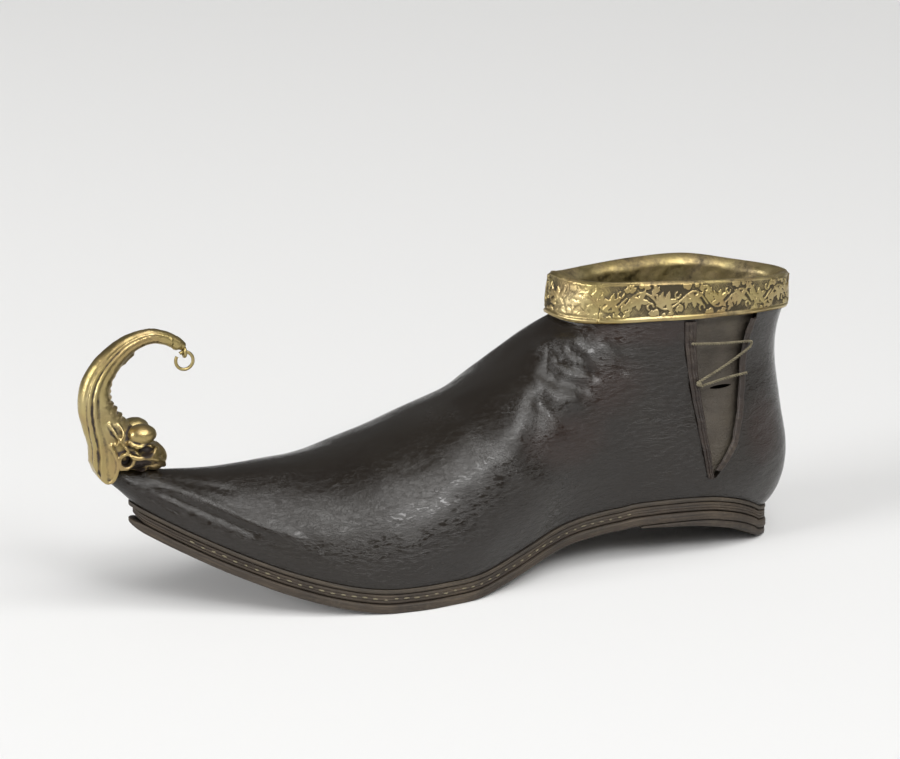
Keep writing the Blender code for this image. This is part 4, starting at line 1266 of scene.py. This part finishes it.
def scrollStrokes():
    # strokes of the running vine: points in millimetres, half widths, height
    strokes = []
    half = band["halfWave"]

    def lobe(root, angle, reach, width, height, place, bend=0.25):
        way = np.array([math.sin(angle), math.cos(angle)])
        side = np.array([way[1], -way[0]]) * bend
        points = [np.array(root) + reach * (way * f + side * f * f) for f in (0, 0.35, 0.7, 1.0)]
        strokes.append((place(points), width * np.array([0.45, 1.0, 0.85, 0.18]), height))

    for k in range(-13, 14):
        flip = 1 if k % 2 else -1
        middle = half * (k + 0.5) + random.uniform(-0.5, 0.5)
        turn = random.uniform(-0.16, 0.16)

        def place(points, middle=middle, flip=flip, turn=turn):
            x, y = np.array(points, float).T
            c, s = math.cos(turn), math.sin(turn)
            return np.c_[middle + c * x - s * y, band["middle"] + 1.2 * flip * (s * x + c * y)]

        stem = [(x, 3.0 * math.cos(math.pi * x / half) - 0.4)
                for x in np.linspace(-0.56 * half, 0.56 * half, 11)]
        strokes.append((place(stem), np.full(11, 0.42), 0.75))
        # a broad leaf of five lobes hangs in each bend
        root = (random.uniform(-0.7, 0.7), 0.6)
        for angle, reach in ((-2.05, 3.5), (-1.05, 3.9), (0.05, 3.2), (1.05, 3.9), (2.05, 3.5)):
            lobe(root, math.pi + angle, reach * random.uniform(0.9, 1.15), 1.05, 0.95, place,
                 random.uniform(-0.35, 0.35))
        curl = np.linspace(0.0, 4.4, 10)
        spin = np.c_[3.6 + 1.35 * np.cos(curl) * (1 - curl / 9), -2.4
                     + 1.35 * np.sin(curl) * (1 - curl / 9)]
        strokes.append((place(spin), np.linspace(0.40, 0.30, 10), 0.8))
        for spot, angle, reach in (((-3.6, 0.6), 2.6, 2.6), ((-4.4, -2.2), 3.6, 2.2),
                                   ((-2.6, 3.2), -0.5, 2.2), ((2.2, 3.4), 0.7, 2.3),
                                   ((4.6, 1.6), 1.3, 2.1), ((0.3, 4.0), 0.1, 1.5),
                                   ((-4.9, 3.6), 0.3, 1.9)):
            angle += random.uniform(-0.35, 0.35)
            lobe(spot, angle, reach * 1.2, 0.80, 0.90, place, 0.4)
            lobe(spot, angle + 0.9, reach * 0.8, 0.58, 0.80, place)
            lobe(spot, angle - 0.9, reach * 0.7, 0.50, 0.75, place)
    return strokes


def scrollHeight(along, up):
    # height of the ornament, 0 to 1, and how near its edge is, at places in millimetres
    value, edge = np.zeros(len(along)), np.full(len(along), 9.0)
    for points, widths, height in scrollStrokes():
        low, high = points.min(0) - 1.5, points.max(0) + 1.5
        here = np.nonzero((along > low[0]) & (along < high[0]) & (up > low[1]) & (up < high[1]))[0]
        if not len(here):
            continue
        spots = np.c_[along[here], up[here]]
        best, rim = np.zeros(len(here)), np.full(len(here), 9.0)
        for k in range(len(points) - 1):
            share, away = offLine(spots, points[k], points[k + 1])
            width = widths[k] + (widths[k + 1] - widths[k]) * share
            vein = 0.45 * bump(away, 0, 0.13) * (width > 0.5)
            best = np.maximum(best, np.clip(1 - (away / width) ** 2, 0, 1) ** 0.4 - vein)
            rim = np.minimum(rim, away - width)
        value[here] = np.maximum(value[here], best * height)
        edge[here] = np.minimum(edge[here], rim)
    return value, edge


def makeBand():
    inner = collarInset + shoe["wall"] + gap
    thick, bead, tall, lining = (collar[k] for k in ("thickness", "bead", "height", "lining"))
    outerDrops = np.linspace(tall, 0.0010, band["rows"])
    outerInsets = (-0.00036 * bump(outerDrops, tall - 0.0009, 0.00050)
                   + 0.00016 * bump(outerDrops, tall - 0.0018, 0.00025)
                   - 0.00022 * bump(outerDrops, 0.0012, 0.00040))
    section = np.vstack([
        [(thick, tall), (thick * 0.4, tall), (-0.0001, tall - 0.0001)],
        np.c_[outerInsets, outerDrops],
        [(0.0, 0.0006), (0.0003, 0.0001), (bead * 2, 0.0), (inner * 0.42, 0.0002),
         (inner * 0.75, 0.0011), (inner + thick * 0.4, 0.0023)],
        np.c_[np.full(14, inner + thick), np.linspace(0.0038, lining, 14)],
        [(inner + thick * 0.5, lining + 0.0001), (inner, lining - 0.0001), (inner, 0.0048),
         (thick, 0.0020), (thick, tall)]])
    tops = len(outerDrops) + 3
    fine = np.linspace(-frontSection, frontSection, 4001)
    stored = {}

    def around(w, inset, drop):
        # a place on the band: w runs from the far side's front round the heel to the near side's
        return np.where((w >= 0)[:, None], collarPoint(np.abs(w), near, inset, drop),
                        collarPoint(np.abs(w), far, inset, drop))

    length = lengthAlong(around(fine, 0.0, tall / 2))

    def place(u, v):
        arc = u * length[-1]
        w = np.interp(arc, length, fine)
        k = np.round(v * (len(section) - 1)).astype(int)
        inset, drop = section[k].T
        outside = (k >= 3) & (k < tops)
        fromFront = np.where(w >= 0, length[-1] - arc, -arc) * 1000
        up = (tall - drop) * 1000
        zone = soft(1.6, 2.0, up) * (1 - soft(12.9, 13.2, up)) * outside
        relief, edge = scrollHeight(fromFront, np.where(outside, up, -50.0))
        worn = soft(3, 7, fromFront) * (1 - soft(22, 27, fromFront))
        relief *= 1 - 0.62 * worn
        punched = np.sin(fromFront * 8.1 + 2.6 * np.sin(up * 1.9)) * np.sin(
            up * 8.7 + 2.2 * np.sin(fromFront * 1.6))
        lap = bump(fromFront, 23.5, 0.16) * outside * (1 - soft(6.0, 8.0, up))
        step = (1 - soft(23.3, 23.7, fromFront)) * soft(-2, 4, fromFront) * (up > 2.5) * outside
        dent = (0.00018 * np.sin(fromFront / 4.3) * np.sin(up / 3.0 + 1)
                + 0.00022 * np.sin(fromFront / 9.7 + 2)
                + 0.00004 * worn * np.sin(fromFront * 1.3 + 0.8 * up + np.sin(up * 1.7))
                * np.sin(up * 0.9 - 1 + np.sin(fromFront * 0.7))) * outside
        inside = (k > tops + 5) & (k < tops + 20)
        dent = dent - (0.00020 * np.sin(fromFront / 3.9) * np.sin(up / 2.2)
                       + 0.00012 * np.sin(fromFront / 1.7 + np.sin(up / 1.4))
                       * np.sin(fromFront / 5.3 + up / 2.6)) * inside
        push = (band["relief"] * relief + 0.00013 * punched * (relief < 0.15)) * zone
        push = push + 0.00016 * step - 0.0003 * lap + dent
        points = around(w, inset - push, drop)
        points[np.abs(np.abs(w) - frontSection) < 1e-9, 1] = 0.0
        halo = np.exp(-(np.clip(edge, 0.0, None) / 0.45) ** 2) * (relief < 0.3)
        dark = sum(bump(fromFront, x, wide) * bump(up, y, high)
                   for x, y, wide, high in band["darkPlaces"]) * (relief < 0.4)
        chased = 0.66 - 0.42 * relief + 0.10 * halo + 0.22 * dark - 0.14 * punched
        tone = 0.44 + (chased - 0.44) * zone - 0.24 * worn
        blotch = 0.05 * np.sin(fromFront / 3.7 + 1.3) * np.sin(up / 3.1 + fromFront / 9)
        stored["groove"] = np.where(outside, tone, 0.56 + blotch) + 0.35 * lap
        return points, np.c_[arc, drop]

    piece = gridPiece("bandSweep", band["steps"], len(section) - 1, place)
    paint(piece, "groove", stored["groove"])
    piece = joinUp("gilt_collar_band", [piece])
    dress(smoothOut(piece, 60), bandGilt, standsFor=("collar_band",))
    return piece


bandPiece = makeBand()
print("collar band made:", len(bandPiece.data.polygons), "faces")


# toe mount and ring

mount = {
    "rise": 0.0580, "headLength": 0.0260, "headWidth": 0.0165, "voxel": 0.00032,
    "baseFront": (0.120, 0.085), "baseSlope": 0.22, "hammered": 0.00005,
    "loopAt": (-0.3776, 0.8945), "loopBore": 0.0020, "loopWire": 0.0012,
    "ringRadius": 0.00315, "ringWire": 0.0012, "ringOpening": 26.0, "ringOpeningAt": 45.0,
    # lumps of the face and their half sizes, its rolled edges, and its cuts
    "lumps": (("brow", (0.0054, 0.0046, 0.0037)), ("cheek", (0.0072, 0.0052, 0.0044)),
              ("snout", (0.0046, 0.0042, 0.0049))),
    "rolls": (("lid", 48, 10, 0.00060), ("lip", 48, 10, 0.00095), ("flap", 60, 10, 0.00042),
              ("strapA", 40, 8, 0.00055), ("strapB", 40, 8, 0.00050)),
    "eyeCut": (0.0036, 0.0036, 0.0019), "mouthCut": (0.0052, 0.0040, 0.0016),
    "holeCut": 0.0019, "holeDepth": 0.0065, "holeRing": (0.0025, 0.00075),
    "darkHollows": (("eye", 0.0034), ("mouth", 0.0046), ("hole", 0.0024)),
    # the horn's tip: ahead, up, and half sizes
    "tipBeads": ((-0.330, 0.945, (0.0023, 0.0024, 0.0020)),
                 (-0.290, 0.975, (0.0009, 0.0027, 0.0025))),
}
horn = np.array([  # ahead, up, thick, wide; the head's own bulk is slimmer behind its face
    (0.030, 0.046, 0.56, 0.66), (0.040, 0.158, 0.72, 0.90), (0.058, 0.288, 0.79, 0.98),
    (0.098, 0.400, 0.66, 0.86), (0.150, 0.503, 0.53, 0.74), (0.187, 0.615, 0.455, 0.64),
    (0.180, 0.735, 0.405, 0.57), (0.117, 0.848, 0.355, 0.50), (0.029, 0.935, 0.295, 0.425),
    (-0.060, 0.987, 0.248, 0.365), (-0.164, 1.012, 0.210, 0.315), (-0.255, 0.994, 0.186, 0.280),
    (-0.326, 0.958, 0.168, 0.255), (-0.379, 0.925, 0.110, 0.160)])
mountZero = np.array([toeTip, 0.0, float(stackHeight(np.array([toeTip]), np.array([0.0]))[0])])


def mountPoint(ahead, up, y=0.0):
    return mountZero + np.array([ahead * mount["rise"], y, up * mount["rise"]])


loopCentre = mountPoint(*mount["loopAt"])


def hornSweep():
    spine = openEnded(np.array([mountPoint(a, b) for a, b in horn[:, :2]]))
    sizes = openEnded(horn[:, 2:] * (mount["headLength"], mount["headWidth"]))
    last = len(horn) - 1

    def place(u, v):
        t = u * last
        centre = spline(spine, t)
        run = unit(spline(spine, np.minimum(t + 0.02, last))
                   - spline(spine, np.maximum(t - 0.02, 0)))
        out = np.c_[run[:, 2], 0 * t, -run[:, 0]]
        thick, wide = spline(sizes, t).T
        turn = 2 * math.pi * v
        away = np.abs((turn + math.pi) % (2 * math.pi) - math.pi)
        scale = np.clip(thick / 0.011, 0.35, 1.0) * soft(0.2, 0.9, t)
        rib = np.interp(t, (1, 2, 3, 4, 5, 6, 13), (0.30, 0.40, 0.53, 0.74, 1.00, 1.12, 1.14))
        # two ribs with a groove between them, a milled outer edge and a knobbed inner one
        ribs = (0.70 * bump(away, rib, 0.09) - 0.55 * bump(away, rib + 0.19, 0.08)
                + 0.60 * bump(away, rib + 0.38, 0.10) - 0.35 * bump(away, rib - 0.20, 0.09)
                - 0.30 * bump(away, rib + 0.60, 0.11))
        milled = 0.06 * np.sin(t * 52) * (1 - soft(rib - 0.4, rib - 0.2, away)) * soft(1.2, 2.2, t)
        dished = -0.7 * bump(away, 1.75, 0.40) * soft(0.6, 1.6, t) * (1 - soft(4.6, 6.0, t))
        hatched = 0.05 * np.sin(t * 17 + 9 * away) * soft(1.9, 2.1, away) * (1 - soft(2.7, 2.8, away))
        grown = 1 - soft(3.6, 7.6, t)
        knobs = ((0.35 + 1.0 * grown) * bump(away, math.pi, 0.30 + 0.25 * grown)
                 * (0.55 + 0.45 * np.sin(t * 13.0)) * soft(3.3, 3.8, t) * (1 - soft(7.6, 8.2, t)))
        fin = 1.15 * bump(away, math.pi, 0.26) * soft(7.3, 8.0, t) * (1 - soft(8.74, 8.79, t))
        push = (ribs * scale + milled + dished + hatched + knobs + fin) * 0.001
        points = centre + (np.cos(turn) * (thick / 2 + push))[:, None] * out
        points[:, 1] += np.sin(turn) * (wide / 2 + push)
        return points, np.c_[t * 0.01, v * 0.03]
    return closeHoles(joinUp("horn", [gridPiece("horn", 460, 84, place)]))


def toePlug():
    # the leather toe, a gap larger all round
    steps, first = 10, 13

    def half(side):
        def place(u, v):
            points, normals = wornLeather(first + u * (tipSection - first), v, side)
            return points + normals * gap, np.c_[u, v]
        return gridPiece("plugSide", steps * (tipSection - first), 30, place)
    return closeHoles(joinUp("toePlug", [half(near), half(far)]))


face = {   # places on the head: ahead, up, millimetres out from the middle
    "brow": (-0.072, 0.432, 4.6), "cheek": (-0.075, 0.300, 3.0), "snout": (-0.160, 0.270, 1.6),
    "eye": (-0.092, 0.345, 8.2), "hole": (0.038, 0.290, 7.6), "mouth": (-0.062, 0.232, 7.6),
    "lid": ((0.018, 0.405, 6.4), (-0.012, 0.385, 7.6), (-0.050, 0.374, 8.4),
            (-0.090, 0.372, 8.4), (-0.128, 0.366, 7.4), (-0.158, 0.352, 5.6)),
    "lip": ((0.020, 0.322, 8.2), (-0.029, 0.305, 8.4), (-0.09, 0.296, 8.0),
            (-0.15, 0.276, 6.8), (-0.198, 0.246, 4.6), (-0.218, 0.214, 2.6)),
    "flap": ((0.130, 0.400, 6.9), (0.100, 0.330, 7.6), (0.090, 0.270, 7.7), (0.098, 0.215, 7.5),
             (0.118, 0.172, 6.7), (0.145, 0.158, 5.7), (0.176, 0.176, 4.2), (0.200, 0.222, 2.6)),
    "strapA": ((0.128, 0.525, 5.2), (0.092, 0.455, 6.9), (0.048, 0.385, 7.8), (0.022, 0.345, 8.2)),
    "strapB": ((0.072, 0.520, 4.2), (0.048, 0.470, 6.4), (0.062, 0.430, 7.5), (0.100, 0.395, 7.6)),
    "teeth": ((-0.020, 0.244, 7.4), (-0.055, 0.256, 7.2), (-0.088, 0.246, 6.9), (-0.118, 0.236, 6.2)),
    "crest": ((0.104, 0.668, 0.9), (0.104, 0.622, 1.05), (0.090, 0.580, 1.2), (0.064, 0.546, 1.35),
              (0.034, 0.518, 1.4), (0.004, 0.496, 1.3)),
    "jaw": ((0.096, 0.206), (0.086, 0.236), (0.030, 0.232), (-0.060, 0.205), (-0.130, 0.196),
            (-0.235, 0.182), (-0.40, 0.180), (-0.40, -0.20), (0.40, -0.20), (0.40, 0.285),
            (0.232, 0.285), (0.216, 0.238), (0.199, 0.195), (0.179, 0.166), (0.162, 0.152),
            (0.145, 0.148), (0.128, 0.154), (0.112, 0.170)),
}


def facePath(name, side, steps=48):
    # a smooth line through named places of the face, on one side of the head
    spots = np.array([mountPoint(a, b, side * 0.001 * c) for a, b, c in face[name]])
    return spline(openEnded(spots), np.linspace(0, len(spots) - 1, steps))


def facePlace(name, side):
    ahead, up, out = face[name]
    return mountPoint(ahead, up, side * 0.001 * out)


def roll(radius):
    return lambda along, turn: (radius * np.cos(turn), radius * np.sin(turn))


def jawCutter():
    # everything under the jaw, where the leather toe shows
    corners = face["jaw"] + face["jaw"][:1]

    def place(u, v):
        k = np.round(u * (len(corners) - 1)).astype(int)
        spots = np.array([mountPoint(*corners[i]) for i in k])
        spots[:, 1] = (v - 0.5) * 2 * mount["headWidth"]
        return spots, np.c_[u, v]
    return closeHoles(joinUp("jawCutter", [gridPiece("jaw", len(corners) - 1, 1, place)]))


def hammered(piece, depth):
    # a worn, slightly lumpy surface
    points = readPoints(piece)
    lumps = np.zeros(len(points))
    for pitch in (0.0055, 0.0031, 0.0019, 0.0012):
        for _ in range(3):
            way = np.array([random.gauss(0, 1) for _ in range(3)])
            way *= 2 * math.pi / (pitch * np.linalg.norm(way))
            lumps += np.sin(points @ way + random.uniform(0, 6)) * pitch / 0.0055
    writePoints(piece, points + readPoints(piece, "normal") * (lumps * depth / 2)[:, None])


def faceParts(side):
    # what is laid on one side of the head before it is all made one body
    lying = (math.pi / 2, 0, 0)
    pieces = [ellipsoid(facePlace(name, side), size) for name, size in mount["lumps"]]
    pieces.append(torus(facePlace("hole", side), *mount["holeRing"], lying))
    for name, along, around, radius in mount["rolls"]:
        pieces.append(sweep(name, facePath(name, side), along, around, roll(radius)))
    for ahead, up, out in face["teeth"]:
        pieces.append(ellipsoid(mountPoint(ahead, up, side * 0.001 * out),
                                (0.0007, 0.0007, 0.0011), 12))
    for spot in facePath("lid", side, 8):
        pieces.append(ellipsoid(spot - (0, 0, 0.0004), (0.00085, 0.0009, 0.0008), 12))
    return pieces


def cutFace(piece, side):
    bore = settle(fresh(bpy.ops.mesh.primitive_cylinder_add, vertices=32,
                        radius=mount["holeCut"], depth=mount["holeDepth"],
                        location=facePlace("hole", side), rotation=(math.pi / 2, 0, 0)))
    for cutter in (ellipsoid(facePlace("eye", side), mount["eyeCut"]), bore,
                   ellipsoid(facePlace("mouth", side), mount["mouthCut"])):
        combine(piece, cutter, "DIFFERENCE")


def makeMount():
    pieces = [hornSweep(), *faceParts(near), *faceParts(far)]
    for ahead, up, radius in face["crest"]:
        radius *= 0.001
        pieces.append(ellipsoid(mountPoint(ahead, up), (radius, radius * 1.9, radius), 16))
    for ahead, up, size in mount["tipBeads"]:
        pieces.append(ellipsoid(mountPoint(ahead, up), size, 24))
    piece = joinUp("gilt_toe_mount", pieces, 1e-8)
    remesh = {"mode": "VOXEL", "voxel_size": mount["voxel"]}
    modify(piece, "REMESH", **remesh)
    for side in (near, far):
        cutFace(piece, side)
    modify(piece, "REMESH", **remesh)   # again, so that the cuts below find a closed body
    editing(piece, (bpy.ops.mesh.bisect, {
        "plane_co": mountPoint(*mount["baseFront"]), "plane_no": (-mount["baseSlope"], 0, -1),
        "use_fill": True, "clear_outer": True}))
    combine(piece, jawCutter(), "DIFFERENCE")
    combine(piece, toePlug(), "DIFFERENCE")
    modify(piece, "SMOOTH", factor=0.35, iterations=2)
    hammered(piece, mount["hammered"])
    smoothOut(piece, 60)
    loop = torus(loopCentre, (mount["loopBore"] + mount["loopWire"]) / 2, mount["loopWire"] / 2,
                 (0, math.pi / 2, 0))
    smoothOut(loop, 60)
    groove = hollowness(piece, 10, 0.75)
    for name, radius in mount["darkHollows"]:
        for side in (near, far):
            away = np.linalg.norm(readPoints(piece) - facePlace(name, side), axis=1)
            groove = np.maximum(groove, 1.25 * np.exp(-(away / radius) ** 4))
    paint(piece, "groove", groove)
    paint(loop, "groove", 0.45 + 0 * readPoints(loop)[:, 0])
    pick(loop, piece)
    bpy.ops.object.join()
    dress(piece, mountGilt, standsFor=("toe_mount",))
    return piece


def makeRing():
    centre = loopCentre - (0, 0, mount["ringRadius"])
    start = mount["ringOpeningAt"] + mount["ringOpening"] / 2
    end = mount["ringOpeningAt"] - mount["ringOpening"] / 2 + 360
    turns = np.radians(np.linspace(start, end, 120))
    path = centre + mount["ringRadius"] * np.c_[np.cos(turns), 0 * turns, np.sin(turns)]
    ring = sweep("gilt_jump_ring", path, 110, 14, roll(mount["ringWire"] / 2))
    paint(ring, "groove", 0.55 + 0 * readPoints(ring)[:, 0])
    dress(smoothOut(ring, 60), mountGilt, "ring", ("toe_ring",))


mountPiece = makeMount()
makeRing()
print("toe mount made:", len(mountPiece.data.polygons), "faces")


# stitches

stitches = {"length": 0.0020, "radius": 0.00030, "pitch": 0.0038, "from": 0.060, "to": 0.232,
            "sunk": 0.0004, "wander": 0.00025, "up": 0.52}


def makeStitches():
    s = stitches
    pieces = []
    fine = np.linspace(0, tipSection, 3000)
    for side in (near, far):
        spots, outward = outline(fine, side, 0.0)
        length = lengthAlong(spots)
        for at in np.arange(0.02, length[-1] - 0.01, s["pitch"]):
            x, y = (np.interp(at, length, c) for c in spots.T)
            if not s["from"] < x < s["to"]:
                continue
            nx, ny = (np.interp(at, length, c) for c in outward.T)
            behind, here, ahead = midsoleLow(x + np.array([-0.001, 0, 0.001]), np.full(3, y))
            pieces.append(settle(fresh(
                bpy.ops.mesh.primitive_uv_sphere_add, segments=8, ring_count=6, radius=1,
                location=(x - nx * s["sunk"], y - ny * s["sunk"],
                          here + s["up"] * shoe["midsole"]
                          + random.uniform(-s["wander"], s["wander"])),
                scale=(s["length"] / 2 * random.uniform(0.6, 1.2), s["radius"], s["radius"]),
                rotation=(0, -math.atan((ahead - behind) / 0.002),
                          math.atan2(-nx * side, ny * side)))))
    thread = joinUp("edge_stitches", pieces, 1e-8)
    dress(smoothOut(thread, 80), cordFibre)


makeStitches()
print("stitches made")
